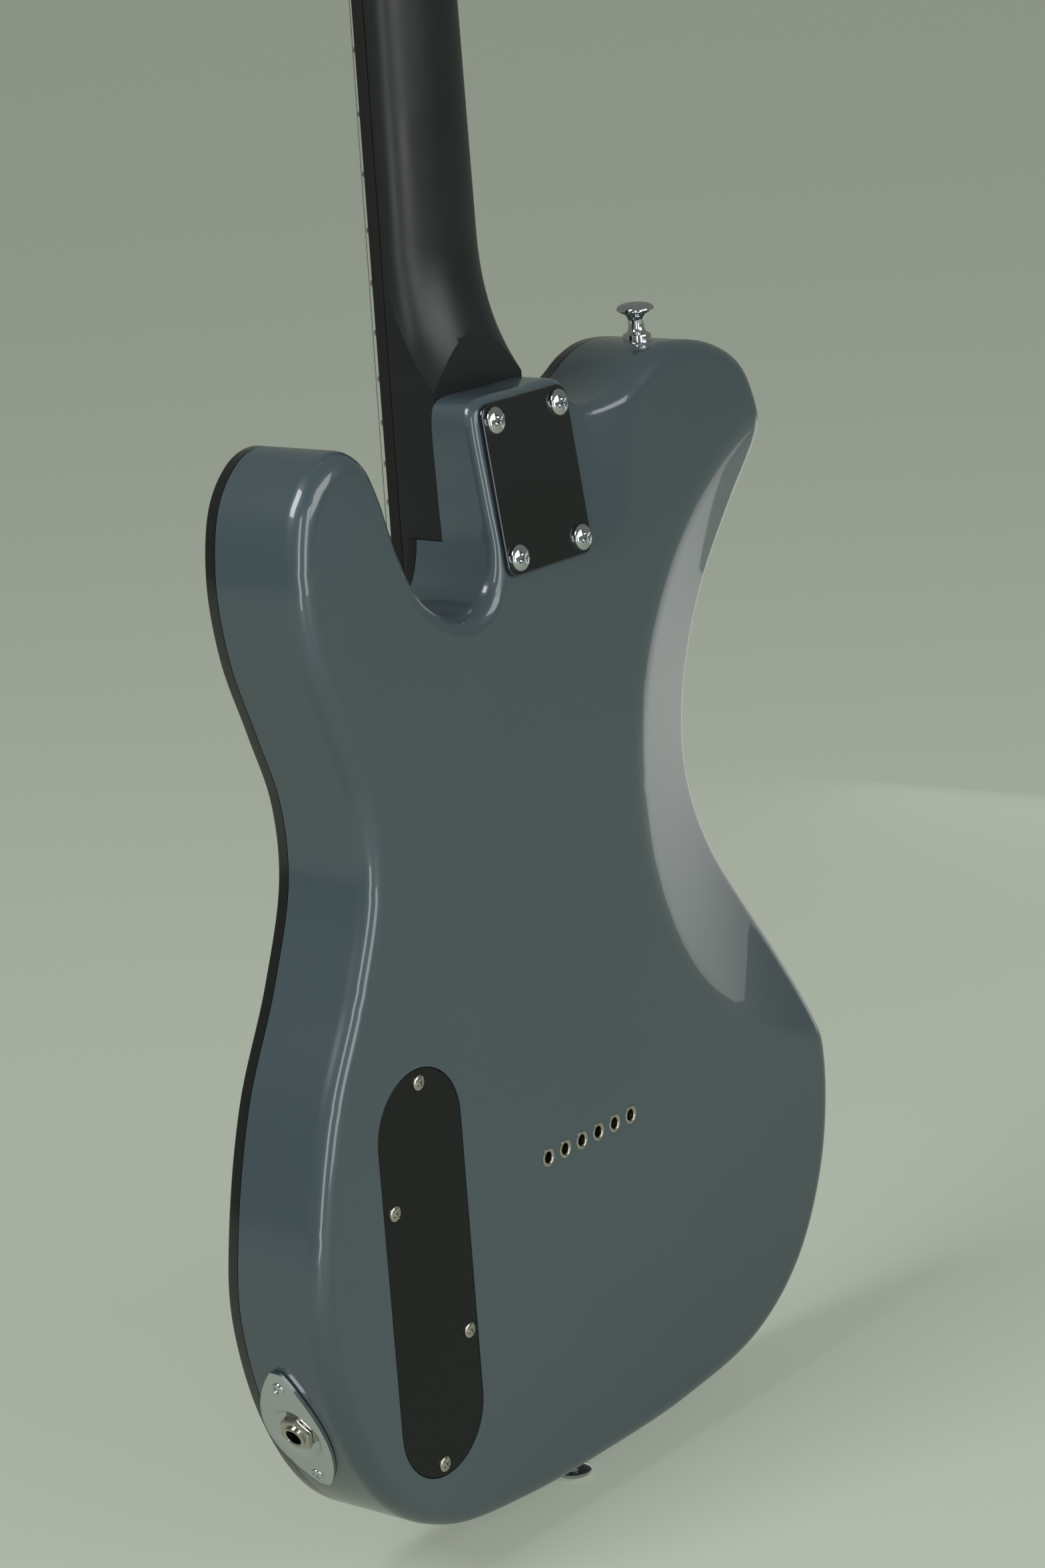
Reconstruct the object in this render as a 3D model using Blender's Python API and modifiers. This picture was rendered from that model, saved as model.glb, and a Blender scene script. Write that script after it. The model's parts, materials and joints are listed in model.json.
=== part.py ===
# Baritone electric guitar with a single-cutaway solid body and a bolt-on neck.
#
# Frame: +Z runs up the neck, +Y points out of the flat back, -Y out of the face that carries
# the strings, and +X is the treble side with the cutaway. The origin is the lowest point of the
# body's tail, on the plane of the back.

import math

import bmesh
import bpy
from mathutils import Matrix, Vector

MM = 0.001
GAP = 0.3 * MM

# Strings and scale
SCALE_LENGTH = 685.8 * MM
FERRULE_LINE = 132.5 * MM
SADDLE_LINE = FERRULE_LINE + 6.5 * MM
NUT_LINE = SADDLE_LINE + SCALE_LENGTH
STRINGS = 6
BRIDGE_PITCH = 10.5 * MM
NUT_PITCH = 7.2 * MM
STRING_RADII = [r * MM for r in (0.18, 0.23, 0.33, 0.48, 0.64, 0.79)]
STRING_Y_SADDLE = -58.0 * MM
STRING_Y_NUT = -55.2 * MM
FRETS = 22

# Body
THICKNESS = 44.5 * MM
EDGE_RADIUS = 8.0 * MM
HEEL_EDGE_RADIUS = 4.5 * MM
BINDING_HEIGHT = 5.0 * MM
BINDING_DEPTH = 2.0 * MM
HEEL_TOP = 421.0 * MM
TAPER_START = 356.0 * MM
TAPER_ANGLE = math.radians(7.5)
BELLY_CENTRE = (-183.0 * MM, 257.5 * MM)
BELLY_RADIUS = 135.0 * MM
BELLY_SLOPE = 0.36

# Outline of the body as millimetres of X and Z, from the tail round by the treble side
TREBLE_BOUT = [(-2.5, 0), (50, 1.5), (95, 8.5), (128, 28.5), (150, 63.5), (160.8, 108.5), (158, 140.5)]
TREBLE_WAIST = [(146, 185.5), (127, 224.5), (114.5, 260.5), (115, 289.5), (124, 316.5), (134.5, 346.5)]
HORN = [(137.8, 377.5), (132, 403), (119, 416), (106, 418), (96, 412), (89.5, 400.5)]
CUTAWAY = [(82, 379.5), (72, 360.5), (58, 349.5), (45, 347), (34, 352), (28.5, 365)]
HEEL = [(28.5, 385), (28.5, 415), (26.7, 419.2), (22.5, 421), (-3, 421), (-23.5, 421), (-27.7, 419.2)]
SHOULDER = [(-29.5, 415), (-33, 410.5), (-40, 409), (-50, 411), (-60, 415), (-69, 420), (-82, 423.8)]
BASS_BOUT = [(-97, 423.6), (-118, 419), (-134, 409.5), (-142.5, 394.5), (-145.3, 377.5), (-134.5, 352)]
BASS_WAIST = [(-117.5, 314.5), (-108.5, 271.5), (-110.5, 246.5), (-121.5, 218.5), (-138.5, 189)]
BASS_TAIL = [(-152, 162.5), (-162.5, 132.5), (-165.7, 104.5), (-158.5, 66.5), (-137.5, 31.5)]
TAIL = [(-105.5, 10.5), (-55, 1.7)]
OUTLINE = (TREBLE_BOUT + TREBLE_WAIST + HORN + CUTAWAY + HEEL + SHOULDER + BASS_BOUT
           + BASS_WAIST + BASS_TAIL + TAIL)
OUTLINE_STEP = 14.0 * MM

# Neck
GLUE_LINE = -47.5 * MM
FRETBOARD_THICKNESS = 6.0 * MM
NECK_END = 339.5 * MM
FRETBOARD_END = 326.0 * MM
HEEL_BACK = -27.3 * MM
EDGE_MARGIN = 3.5 * MM
NECK_DEPTH = 14.0 * MM
SCOOP_START = HEEL_TOP
SCOOP_END = 477.0 * MM
SCOOP_DEPTH = 16.0 * MM
SCOOP_WIDTH = 12.0 * MM
FRETBOARD_RADIUS = 355.0 * MM
POCKET_STEP = 368.5 * MM

# Neck plate
PLATE_CENTRE = 387.6 * MM
PLATE_SIZE = (51.0 * MM, 64.0 * MM, 1.6 * MM)
PLATE_SCREWS = (19.05 * MM, 25.4 * MM)
SCREW_HEAD_RADIUS = 4.6 * MM
SCREW_RADIUS = 2.2 * MM
SCREW_LENGTH = 42.0 * MM

# Headstock and tuners
HEAD_FACE = -44.0 * MM
HEAD_BACK = -30.0 * MM
FIRST_POST = 35.0 * MM
POST_PITCH = 25.2 * MM
POST_RADIUS = 3.0 * MM
POST_TOP = -23.0 * MM
WRAP_Y = -50.6 * MM
WORM_OFFSET = 7.3 * MM
WORM_DEPTH = 3.75 * MM
TUNER_TURN = math.atan2(NUT_PITCH * 1.02, POST_PITCH)

# Electrics
COVER_X = 99.5 * MM
COVER_Z = (32.5 * MM, 190.5 * MM)
COVER_WIDTH = 47.0 * MM
COVER_THICKNESS = 2.0 * MM
CAVITY_FLOOR = -38.5 * MM
SWITCH_Z = 170.0 * MM
VOLUME_Z = 118.0 * MM
TONE_Z = 70.0 * MM
JACK = (150.3 * MM, -26.0 * MM, 64.1 * MM)
JACK_TURN = math.radians(22.8)
WALL_RADIUS = 150.0 * MM
PICKUP_SIZE = (70.0 * MM, 38.5 * MM)
PICKUP_TOP = -53.0 * MM
BRIDGE_PICKUP = SADDLE_LINE + 40.0 * MM
NECK_PICKUP = FRETBOARD_END - 25.0 * MM


def clear_scene():
    for item in list(bpy.data.objects):
        bpy.data.objects.remove(item, do_unlink=True)


def new_collection(name):
    collection = bpy.data.collections.new(name)
    bpy.context.scene.collection.children.link(collection)
    return collection


def material(name, colour, roughness, metallic=0.0):
    made = bpy.data.materials.new(name)
    made.use_nodes = True
    shader = made.node_tree.nodes["Principled BSDF"]
    shader.inputs["Base Color"].default_value = (*colour, 1.0)
    shader.inputs["Roughness"].default_value = roughness
    shader.inputs["Metallic"].default_value = metallic
    made.diffuse_color = (*colour, 1.0)
    return made


clear_scene()
PARTS = new_collection("baritone_guitar")
CUTTERS = new_collection("cutters")
SLATE_LACQUER = material("slate_lacquer", (0.068, 0.093, 0.117), 0.08)
BLACK_BINDING = material("black_binding", (0.008, 0.008, 0.009), 0.2)
SATIN_BLACK = material("satin_black_neck", (0.012, 0.013, 0.014), 0.38)
EBONY = material("ebony", (0.018, 0.015, 0.013), 0.5)
BONE = material("black_nut", (0.02, 0.02, 0.02), 0.35)
CHROME = material("chrome", (0.6, 0.6, 0.61), 0.06, 1.0)
NICKEL = material("nickel", (0.55, 0.53, 0.5), 0.15, 1.0)
STEEL = material("steel", (0.4, 0.4, 0.4), 0.3, 1.0)
COVER_PLASTIC = material("black_cover", (0.012, 0.013, 0.013), 0.35)
PICKUP_PLASTIC = material("black_bobbin", (0.01, 0.01, 0.01), 0.25)


def add_object(name, mesh, finish=None, parent=None, matrix=None):
    thing = bpy.data.objects.new(name, mesh)
    (PARTS if finish else CUTTERS).objects.link(thing)
    if finish:
        mesh.materials.clear()
        mesh.materials.append(finish)
    else:
        thing.hide_render = True
        thing.display_type = "WIRE"
    if parent:
        thing.parent = parent
    if matrix:
        thing.matrix_local = matrix
    return thing


def frame_empty(name, matrix, parent=None):
    empty = bpy.data.objects.new(name, None)
    empty.empty_display_size = 5 * MM
    PARTS.objects.link(empty)
    empty.parent = parent
    empty.matrix_local = matrix
    return empty


def boolean(thing, tool, operation="DIFFERENCE"):
    step = thing.modifiers.new(tool.name, "BOOLEAN")
    step.operation = operation
    step.object = tool
    step.solver = "EXACT"
    return step


def finish_mesh(name, bm):
    bmesh.ops.recalc_face_normals(bm, faces=bm.faces)
    mesh = bpy.data.meshes.new(name)
    bm.to_mesh(mesh)
    bm.free()
    return mesh


def box(low, high, name="box"):
    bm = bmesh.new()
    size = [h - l for l, h in zip(low, high)]
    centre = [(h + l) / 2 for l, h in zip(low, high)]
    bmesh.ops.create_cube(bm, size=1.0, matrix=Matrix.Translation(centre) @ Matrix.Diagonal((*size, 1)))
    return finish_mesh(name, bm)


def along(axis):
    """A turn that carries +Z onto the named axis."""
    return Vector((0, 0, 1)).rotation_difference(Vector(axis)).to_matrix().to_4x4()


def rod(start, end, radius, sides=12, end_radius=None, name="rod"):
    start, end = Vector(start), Vector(end)
    bm = bmesh.new()
    place = Matrix.Translation((start + end) / 2) @ along((end - start).normalized())
    bmesh.ops.create_cone(bm, cap_ends=True, segments=sides, radius1=radius,
                          radius2=radius if end_radius is None else end_radius,
                          depth=(end - start).length, matrix=place)
    return finish_mesh(name, bm)


def together(name, meshes):
    """One mesh that holds several separate shells, for use as a cutter."""
    bm = bmesh.new()
    for mesh in meshes:
        bm.from_mesh(mesh)
        bpy.data.meshes.remove(mesh)
    mesh = bpy.data.meshes.new(name)
    bm.to_mesh(mesh)
    bm.free()
    return mesh


def turned(name, profile, sides=16):
    """A turned shape about Z: the profile runs down its outer side, from top to bottom."""
    bm = bmesh.new()
    points = [bm.verts.new((r, 0, z)) for r, z in profile]
    for upper, lower in zip(points, points[1:]):
        bm.edges.new((upper, lower))
    mesh = bpy.data.meshes.new(name)
    bm.to_mesh(mesh)
    bm.free()
    seed = bpy.data.objects.new(name + "_profile", mesh)
    CUTTERS.objects.link(seed)
    screw = seed.modifiers.new("turn", "SCREW")
    screw.steps = sides
    screw.render_steps = sides
    screw.use_merge_vertices = True
    screw.merge_threshold = 0.00001
    return as_mesh(seed, name)


def as_mesh(thing, name):
    """The evaluated object as a welded mesh in world space; the object is removed."""
    bpy.context.view_layer.update()
    graph = bpy.context.evaluated_depsgraph_get()
    mesh = bpy.data.meshes.new_from_object(thing.evaluated_get(graph))
    mesh.transform(thing.matrix_world)
    bm = bmesh.new()
    bm.from_mesh(mesh)
    bmesh.ops.remove_doubles(bm, verts=bm.verts, dist=0.000005)
    bmesh.ops.recalc_face_normals(bm, faces=bm.faces)
    bm.to_mesh(mesh)
    bm.free()
    mesh.name = name
    bpy.data.objects.remove(thing, do_unlink=True)
    return mesh


def plate(name, points, low, high):
    """A flat outline in X and Z, extruded from Y = low to Y = high."""
    curve = bpy.data.curves.new(name, "CURVE")
    curve.dimensions = "2D"
    curve.fill_mode = "BOTH"
    curve.extrude = (high - low) / 2
    spline = curve.splines.new("POLY")
    spline.points.add(len(points) - 1)
    for point, (x, z) in zip(spline.points, points):
        point.co = (x, z, 0, 1)
    spline.use_cyclic_u = True
    thing = bpy.data.objects.new(name, curve)
    CUTTERS.objects.link(thing)
    thing.matrix_world = Matrix.Translation((0, (low + high) / 2, 0)) @ Matrix.Rotation(math.pi / 2, 4, "X")
    return as_mesh(thing, name)


def tube(name, points, radius):
    """A round bar of six sides along the points."""
    curve = bpy.data.curves.new(name, "CURVE")
    curve.dimensions = "3D"
    curve.bevel_depth = radius
    curve.bevel_resolution = 1
    curve.use_fill_caps = True
    spline = curve.splines.new("POLY")
    spline.points.add(len(points) - 1)
    for point, place in zip(spline.points, points):
        point.co = (*place, 1)
    thing = bpy.data.objects.new(name, curve)
    CUTTERS.objects.link(thing)
    return as_mesh(thing, name)


def arc(centre, radius, start, end, steps):
    """Points on an arc in degrees, both ends kept."""
    turns = [math.radians(start + (end - start) * i / steps) for i in range(steps + 1)]
    return [(centre[0] + radius * math.cos(t), centre[1] + radius * math.sin(t)) for t in turns]


def stadium(x, low, high, width, steps=8):
    r = width / 2
    return arc((x, low + r), r, 180, 360, steps) + arc((x, high - r), r, 0, 180, steps)


def rounded_rectangle(x, z, width, height, radius, steps=3):
    points = []
    for sx, sz, start in ((1, 1, 0), (-1, 1, 90), (-1, -1, 180), (1, -1, 270)):
        corner = (x + sx * (width / 2 - radius), z + sz * (height / 2 - radius))
        points += arc(corner, radius, start, start + 90, steps)
    return points


def loft(name, sections):
    """A closed solid through sections that have the same number of points."""
    bm = bmesh.new()
    rings = [[bm.verts.new(p) for p in section] for section in sections]
    for lower, upper in zip(rings, rings[1:]):
        for i in range(len(lower)):
            j = (i + 1) % len(lower)
            bm.faces.new((lower[i], lower[j], upper[j], upper[i]))
    bm.faces.new(reversed(rings[0]))
    bm.faces.new(rings[-1])
    return finish_mesh(name, bm)


def spline_points(knots, step):
    """Points along a closed centripetal Catmull-Rom curve through the knots."""
    knots = [Vector(k) * MM for k in knots]
    count = len(knots)
    points = []
    for i in range(count):
        p = [knots[(i + j) % count] for j in (-1, 0, 1, 2)]
        t = [0.0]
        for a, b in zip(p, p[1:]):
            t.append(t[-1] + math.sqrt((b - a).length))
        steps = max(1, round((p[2] - p[1]).length / step))
        for s in range(steps):
            u = t[1] + (t[2] - t[1]) * s / steps
            a = [p[k] + (p[k + 1] - p[k]) * ((u - t[k]) / (t[k + 1] - t[k])) for k in range(3)]
            b = [a[k] + (a[k + 1] - a[k]) * ((u - t[k]) / (t[k + 2] - t[k])) for k in range(2)]
            points.append(b[0] + (b[1] - b[0]) * ((u - t[1]) / (t[2] - t[1])))
    return points


def smooth(value):
    value = min(max(value, 0.0), 1.0)
    return value * value * (3 - 2 * value)


def edge_radius(x, z):
    """The back edge is rounded by 8 mm, and by less where the heel is narrow."""
    reach = max(abs(x) - 40 * MM, 372 * MM - z, 0.0)
    return HEEL_EDGE_RADIUS + (EDGE_RADIUS - HEEL_EDGE_RADIUS) * smooth(reach / (30 * MM))


def relief(x, z):
    """How far the back lies in front of Y = 0: the belly contour and the tapered heel."""
    inside = BELLY_RADIUS - math.hypot(x - BELLY_CENTRE[0], z - BELLY_CENTRE[1])
    belly = BELLY_SLOPE * max(inside, 0.0)
    share = smooth((x + 60 * MM) / (30 * MM)) * smooth((46 * MM - x) / (14 * MM))
    return max(belly, share * math.tan(TAPER_ANGLE) * max(z - TAPER_START, 0.0))


def inset_ring(points, amounts, y):
    count = len(points)
    ring = []
    for i, p in enumerate(points):
        tangent = (points[(i + 1) % count] - points[i - 1]).normalized()
        moved = p + Vector((-tangent.y, tangent.x)) * amounts[i]
        ring.append((moved.x, y[i], moved.y))
    return ring


def body_mesh():
    """The body as rings from its face, past the rebate for the binding, to its rounded back edge."""
    points = spline_points(OUTLINE, OUTLINE_STEP)
    count = len(points)
    radii = [edge_radius(p.x, p.y) for p in points]
    rebate = BINDING_DEPTH + GAP
    ledge = -THICKNESS + BINDING_HEIGHT + GAP
    rings = [inset_ring(points, [rebate] * count, [-THICKNESS] * count),
             inset_ring(points, [rebate] * count, [ledge] * count),
             inset_ring(points, [0.0] * count, [ledge] * count)]
    segments = 4
    for s in range(segments + 1):
        turn = math.radians(90 * s / segments)
        rings.append(inset_ring(points, [r * (1 - math.cos(turn)) for r in radii],
                                [-r * (1 - math.sin(turn)) for r in radii]))
    mesh = loft("body", rings)
    bm = bmesh.new()
    bm.from_mesh(mesh)
    belly_x = [v * MM for v in range(-150, -40, 15)]
    belly_z = [v * MM for v in range(130, 395, 15)]
    heel_x = [v * MM for v in (-60, -54, -48, -42, -36, -30)]
    cuts = [((x, 0, 0), (1, 0, 0)) for x in belly_x + heel_x]
    cuts += [((0, 0, z), (0, 0, 1)) for z in belly_z + [TAPER_START, 405 * MM]]
    for place, normal in cuts:
        back = [f for f in bm.faces if all(v.co.y > -1e-6 for v in f.verts)]
        parts = set(back) | {e for f in back for e in f.edges} | {v for f in back for v in f.verts}
        bmesh.ops.bisect_plane(bm, geom=list(parts), dist=1e-6, plane_co=place, plane_no=normal)
    bmesh.ops.dissolve_degenerate(bm, dist=1e-5, edges=bm.edges)
    for vert in bm.verts:
        if vert.co.y > -EDGE_RADIUS - 1e-5:
            vert.co.y -= relief(vert.co.x, vert.co.z)
    bent = [f for f in bm.faces if any(v.co.y > -0.8 * THICKNESS for v in f.verts)]
    bmesh.ops.triangulate(bm, faces=bent)
    bm.to_mesh(mesh)
    bm.free()
    return mesh


def binding_mesh():
    points = spline_points(OUTLINE, OUTLINE_STEP)
    count = len(points)
    face, ledge = [-THICKNESS] * count, [-THICKNESS + BINDING_HEIGHT] * count
    inner, outer = [BINDING_DEPTH] * count, [0.0] * count
    rings = [inset_ring(points, outer, face), inset_ring(points, outer, ledge),
             inset_ring(points, inner, ledge), inset_ring(points, inner, face)]
    bm = bmesh.new()
    loops = [[bm.verts.new(p) for p in ring] for ring in rings]
    for a, b in zip(loops, loops[1:] + loops[:1]):
        for i in range(count):
            j = (i + 1) % count
            bm.faces.new((a[i], a[j], b[j], b[i]))
    return finish_mesh("body_binding", bm)


def string_x(number, z):
    """The middle of string 1 (treble) to 6 (bass) at height z."""
    place = (STRINGS + 1) / 2 - number
    share = (NUT_LINE - z) / SCALE_LENGTH
    return place * (NUT_PITCH + (BRIDGE_PITCH - NUT_PITCH) * share)


def half_width(z):
    """Half the width of the fretboard at height z."""
    return string_x(1, z) + EDGE_MARGIN


def tilted_frame():
    """The frame of the neck plate: on the tapered heel, +Y out of it."""
    y = -math.tan(TAPER_ANGLE) * (PLATE_CENTRE - TAPER_START)
    return Matrix.Translation((0, y, PLATE_CENTRE)) @ Matrix.Rotation(TAPER_ANGLE, 4, "X")


def jack_frame():
    """The frame of the jack: local +X points out of the side wall."""
    return Matrix.Translation(JACK) @ Matrix.Rotation(JACK_TURN, 4, "Y")


def post_place(number):
    """The middle of a tuner's post in X and Z, so that its string runs straight past the nut."""
    z = NUT_LINE + FIRST_POST + (STRINGS - number) * POST_PITCH
    x = string_x(number, z) - POST_RADIUS - GAP - STRING_RADII[number - 1]
    return x, z


def body_cutters(body):
    g = GAP
    pocket_low, pocket_high = NECK_END - g, HEEL_TOP + 10 * MM
    pocket = [(-half_width(pocket_low) - g, pocket_low), (half_width(pocket_low) + g, pocket_low),
              (half_width(POCKET_STEP) + g, POCKET_STEP), (40 * MM, POCKET_STEP),
              (40 * MM, pocket_high), (-half_width(pocket_high) - g, pocket_high)]
    pocket = add_object("neck_pocket", plate("neck_pocket", pocket, -60 * MM, HEEL_BACK + g))
    boolean(body, pocket)
    routs = []
    for z in (BRIDGE_PICKUP, NECK_PICKUP):
        outline = rounded_rectangle(0, z, PICKUP_SIZE[0] + 2 * MM, PICKUP_SIZE[1] + 2 * MM, 4 * MM, 2)
        routs.append(plate("rout", outline, -60 * MM, -24 * MM))
    low, high = COVER_Z
    cavity = stadium(COVER_X, low + 4 * MM, high - 4 * MM, COVER_WIDTH - 8 * MM)
    recess = stadium(COVER_X, low - g, high + g, COVER_WIDTH + 2 * g)
    routs.append(plate("cavity", cavity, CAVITY_FLOOR, 5 * MM))
    boolean(body, add_object("pickup_and_control_routs", together("routs", routs)))
    recess = plate("recess", recess, -COVER_THICKNESS - 0.4 * MM, 5 * MM)
    boolean(body, add_object("cover_recess", recess))
    channel = rod((0, -30 * MM, NECK_PICKUP), (0, -30 * MM, BRIDGE_PICKUP), 3 * MM, 8)
    wire = rod((20 * MM, -31 * MM, BRIDGE_PICKUP), (COVER_X, -31 * MM, BRIDGE_PICKUP - 30 * MM), 3 * MM, 8)
    boolean(body, add_object("wire_channels", together("wires", [channel, wire])))
    jack = jack_frame()
    bore = rod(jack @ Vector((10 * MM, 0, 0)), jack @ Vector((-40 * MM, 0, 0)), 10.5 * MM, 16)
    boolean(body, add_object("jack_bore", bore))
    drills = []
    for number in range(1, STRINGS + 1):
        x = string_x(number, SADDLE_LINE)
        drills.append(rod((x, 5 * MM, FERRULE_LINE), (x, -9.3 * MM, FERRULE_LINE), 3.8 * MM, 12))
    for z, radius in ((VOLUME_Z, 4.0 * MM), (TONE_Z, 4.0 * MM), (SWITCH_Z, 6.4 * MM)):
        drills.append(rod((COVER_X, -60 * MM, z), (COVER_X, -37 * MM, z), radius, 12))
    boolean(body, add_object("ferrule_and_control_drills", together("drills", drills)))
    holes = []
    for number in range(1, STRINGS + 1):
        x = string_x(number, SADDLE_LINE)
        holes.append(rod((x, -5 * MM, FERRULE_LINE), (x, -60 * MM, FERRULE_LINE), 1.6 * MM, 8))
    boolean(body, add_object("string_holes", together("holes", holes)))
    screws = []
    for place in screw_places():
        frame = tilted_frame()
        screws.append(rod(frame @ Vector((place[0], 8 * MM, place[1])),
                          frame @ Vector((place[0], -40 * MM, place[1])), SCREW_RADIUS + g, 10))
    for place, axis in strap_buttons():
        screws.append(rod(place + axis * 5 * MM, place - axis * 26 * MM, 2.3 * MM, 10))
    boolean(body, add_object("screw_holes", together("screws", screws)))


def screw_places():
    x, z = PLATE_SCREWS
    return [(x, z), (-x, z), (x, -z), (-x, -z)]


def strap_buttons():
    """Where the strap buttons stand on the edge of the body, and their axes."""
    upper = Vector((-93 * MM, -22.25 * MM, 423.9 * MM)), Vector((0, 0, 1))
    lower = Vector((-2.5 * MM, -22.25 * MM, 0)), Vector((0, 0, -1))
    return [upper, lower]


def make_body():
    body = add_object("body", body_mesh(), SLATE_LACQUER)
    body_cutters(body)
    binding = add_object("body_binding", binding_mesh(), BLACK_BINDING)
    boolean(binding, bpy.data.objects["neck_pocket"])


def neck_blank():
    sections = []
    for z in (NECK_END, NUT_LINE + 6 * MM):
        w = half_width(z)
        sections.append([(w, GLUE_LINE + GAP, z), (w, HEEL_BACK, z),
                         (-w, HEEL_BACK, z), (-w, GLUE_LINE + GAP, z)])
    return loft("neck", sections)


def neck_carve():
    """The rounded back of the neck; near the heel it swells until it clears the square block."""
    heights = [NECK_END - MM, SCOOP_START, SCOOP_START + 3 * MM]
    heights += [SCOOP_START + (SCOOP_END - SCOOP_START) * i / 8 for i in range(1, 9)]
    heights += [640 * MM, NUT_LINE + 7 * MM]
    sections = []
    for z in heights:
        share = min(max((SCOOP_END - z) / (SCOOP_END - SCOOP_START), 0.0), 1.0)
        wide = half_width(z) - 0.2 * MM + SCOOP_WIDTH * share ** 3
        deep = NECK_DEPTH + SCOOP_DEPTH * share ** 2
        ring = arc((0, GLUE_LINE), 1.0, 0, 180, 16)
        ring = [(wide * c, GLUE_LINE + deep * (s - GLUE_LINE)) for c, s in ring]
        section = [(x, y, z) for x, y in ring]
        sections.append([(wide, -60 * MM, z)] + section + [(-wide, -60 * MM, z)])
    return loft("neck_carve", sections)


def headstock_mesh():
    """A plain paddle for six tuners in one row, cut from a plank with a ramp behind the nut."""
    n = NUT_LINE / MM
    paddle = [(-14, -12), (-18, -3), (-22, 5), (-29, 15), (-34, 28), (-35.2, 40), (-20, 95), (-2, 160),
              (3, 174), (12, 183), (22, 184), (29, 177), (31, 163), (29, 120), (27, 70), (25, 30),
              (22, 6), (18, -3), (14, -12)]
    paddle = plate("headstock", [(x * MM, (n + z) * MM) for x, z in paddle], -70 * MM, -10 * MM)
    ramp = [(-46.9, -14), (-46.9, 5), (-45.3, 11), (-44.3, 18), (-44, 26), (-44, 195),
            (-30, 195), (-30, 40), (-30.6, 24), (-32.2, 8), (-33.4, -14)]
    side = plate("headstock_side", [(y * MM, (n + z) * MM) for y, z in ramp], -60 * MM, 60 * MM)
    side.transform(Matrix.Rotation(-math.pi / 2, 4, "Z"))
    side.transform(Matrix.Diagonal((1, -1, 1, 1)))
    bm = bmesh.new()
    bm.from_mesh(side)
    bmesh.ops.recalc_face_normals(bm, faces=bm.faces)
    bm.to_mesh(side)
    bm.free()
    return paddle, side


def make_neck():
    neck = add_object("neck", neck_blank(), SATIN_BLACK)
    boolean(neck, add_object("neck_carve", neck_carve()), "INTERSECT")
    paddle, side = headstock_mesh()
    head = add_object("headstock", paddle)
    boolean(head, add_object("headstock_side", side), "INTERSECT")
    boolean(neck, head, "UNION")
    posts = []
    for number in range(1, STRINGS + 1):
        x, z = post_place(number)
        posts.append(rod((x, -60 * MM, z), (x, -20 * MM, z), 4.8 * MM, 12))
    boolean(neck, add_object("post_holes", together("post_holes", posts)))
    channel = box((-3.3 * MM, -60 * MM, 352 * MM), (3.3 * MM, -37.7 * MM, 816 * MM))
    wheel = box((-5.8 * MM, -60 * MM, 330 * MM), (5.8 * MM, -33.5 * MM, 352.5 * MM))
    boolean(neck, add_object("truss_channel", channel))
    boolean(neck, add_object("truss_wheel_recess", wheel))
    frame = tilted_frame()
    holes = [rod(frame @ Vector((x, 5 * MM, z)), frame @ Vector((x, -44 * MM, z)), SCREW_RADIUS + GAP, 10)
             for x, z in screw_places()]
    boolean(neck, add_object("neck_screw_holes", together("neck_screw_holes", holes)))


def make_truss_rod():
    bar = box((-3 * MM, GLUE_LINE + 0.6 * MM, 350 * MM), (3 * MM, -38 * MM, 815 * MM), "truss_rod")
    truss = add_object("truss_rod", bar, STEEL)
    wheel = rod((0, -40.5 * MM, 342 * MM), (0, -40.5 * MM, 351 * MM), 5 * MM, 12)
    boolean(truss, add_object("truss_wheel", wheel), "UNION")


def crown(x):
    """How much lower the board is at x than in the middle."""
    return FRETBOARD_RADIUS - math.sqrt(FRETBOARD_RADIUS ** 2 - x ** 2)


def across(w, y, z, steps=4):
    """Points across the crowned top of the board, from treble to bass."""
    xs = [w * (1 - 2 * i / steps) for i in range(steps + 1)]
    return [(x, y + crown(x), z) for x in xs]


def make_fretboard():
    top = GLUE_LINE - FRETBOARD_THICKNESS
    sections = []
    for z in (FRETBOARD_END, NUT_LINE - GAP):
        w = half_width(z)
        sections.append(across(w, top, z) + [(-w, GLUE_LINE, z), (w, GLUE_LINE, z)])
    board = add_object("fretboard", loft("fretboard", sections), EBONY)
    frets = []
    for number in range(1, FRETS + 1):
        z = NUT_LINE - SCALE_LENGTH * (1 - 2 ** (-number / 12))
        w = half_width(z) + 0.15 * MM
        wire = []
        for dz, rise in ((-1.2, 0.0), (-0.6, 1.1), (0.6, 1.1), (1.2, 0.0)):
            upper = across(w, top - rise * MM, z + dz * MM)
            lower = [(x, y + (rise + 1.0) * MM, z + dz * MM) for x, y, _ in reversed(upper)]
            wire.append(upper + lower)
        frets.append(loft("fret", wire))
    boolean(board, add_object("frets", together("frets", frets)), "UNION")


def make_nut():
    w = half_width(NUT_LINE)
    low = (-w, STRING_Y_NUT + 0.3 * MM, NUT_LINE)
    nut = add_object("nut", box(low, (w, GLUE_LINE, NUT_LINE + 4.5 * MM)), BONE)
    slots = []
    for number in range(1, STRINGS + 1):
        x, r = string_x(number, NUT_LINE), STRING_RADII[number - 1] + GAP
        slots.append(box((x - r, -60 * MM, NUT_LINE - 2 * MM), (x + r, STRING_Y_NUT + r, NUT_LINE + 7 * MM)))
    boolean(nut, add_object("nut_slots", together("nut_slots", slots)))


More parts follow.
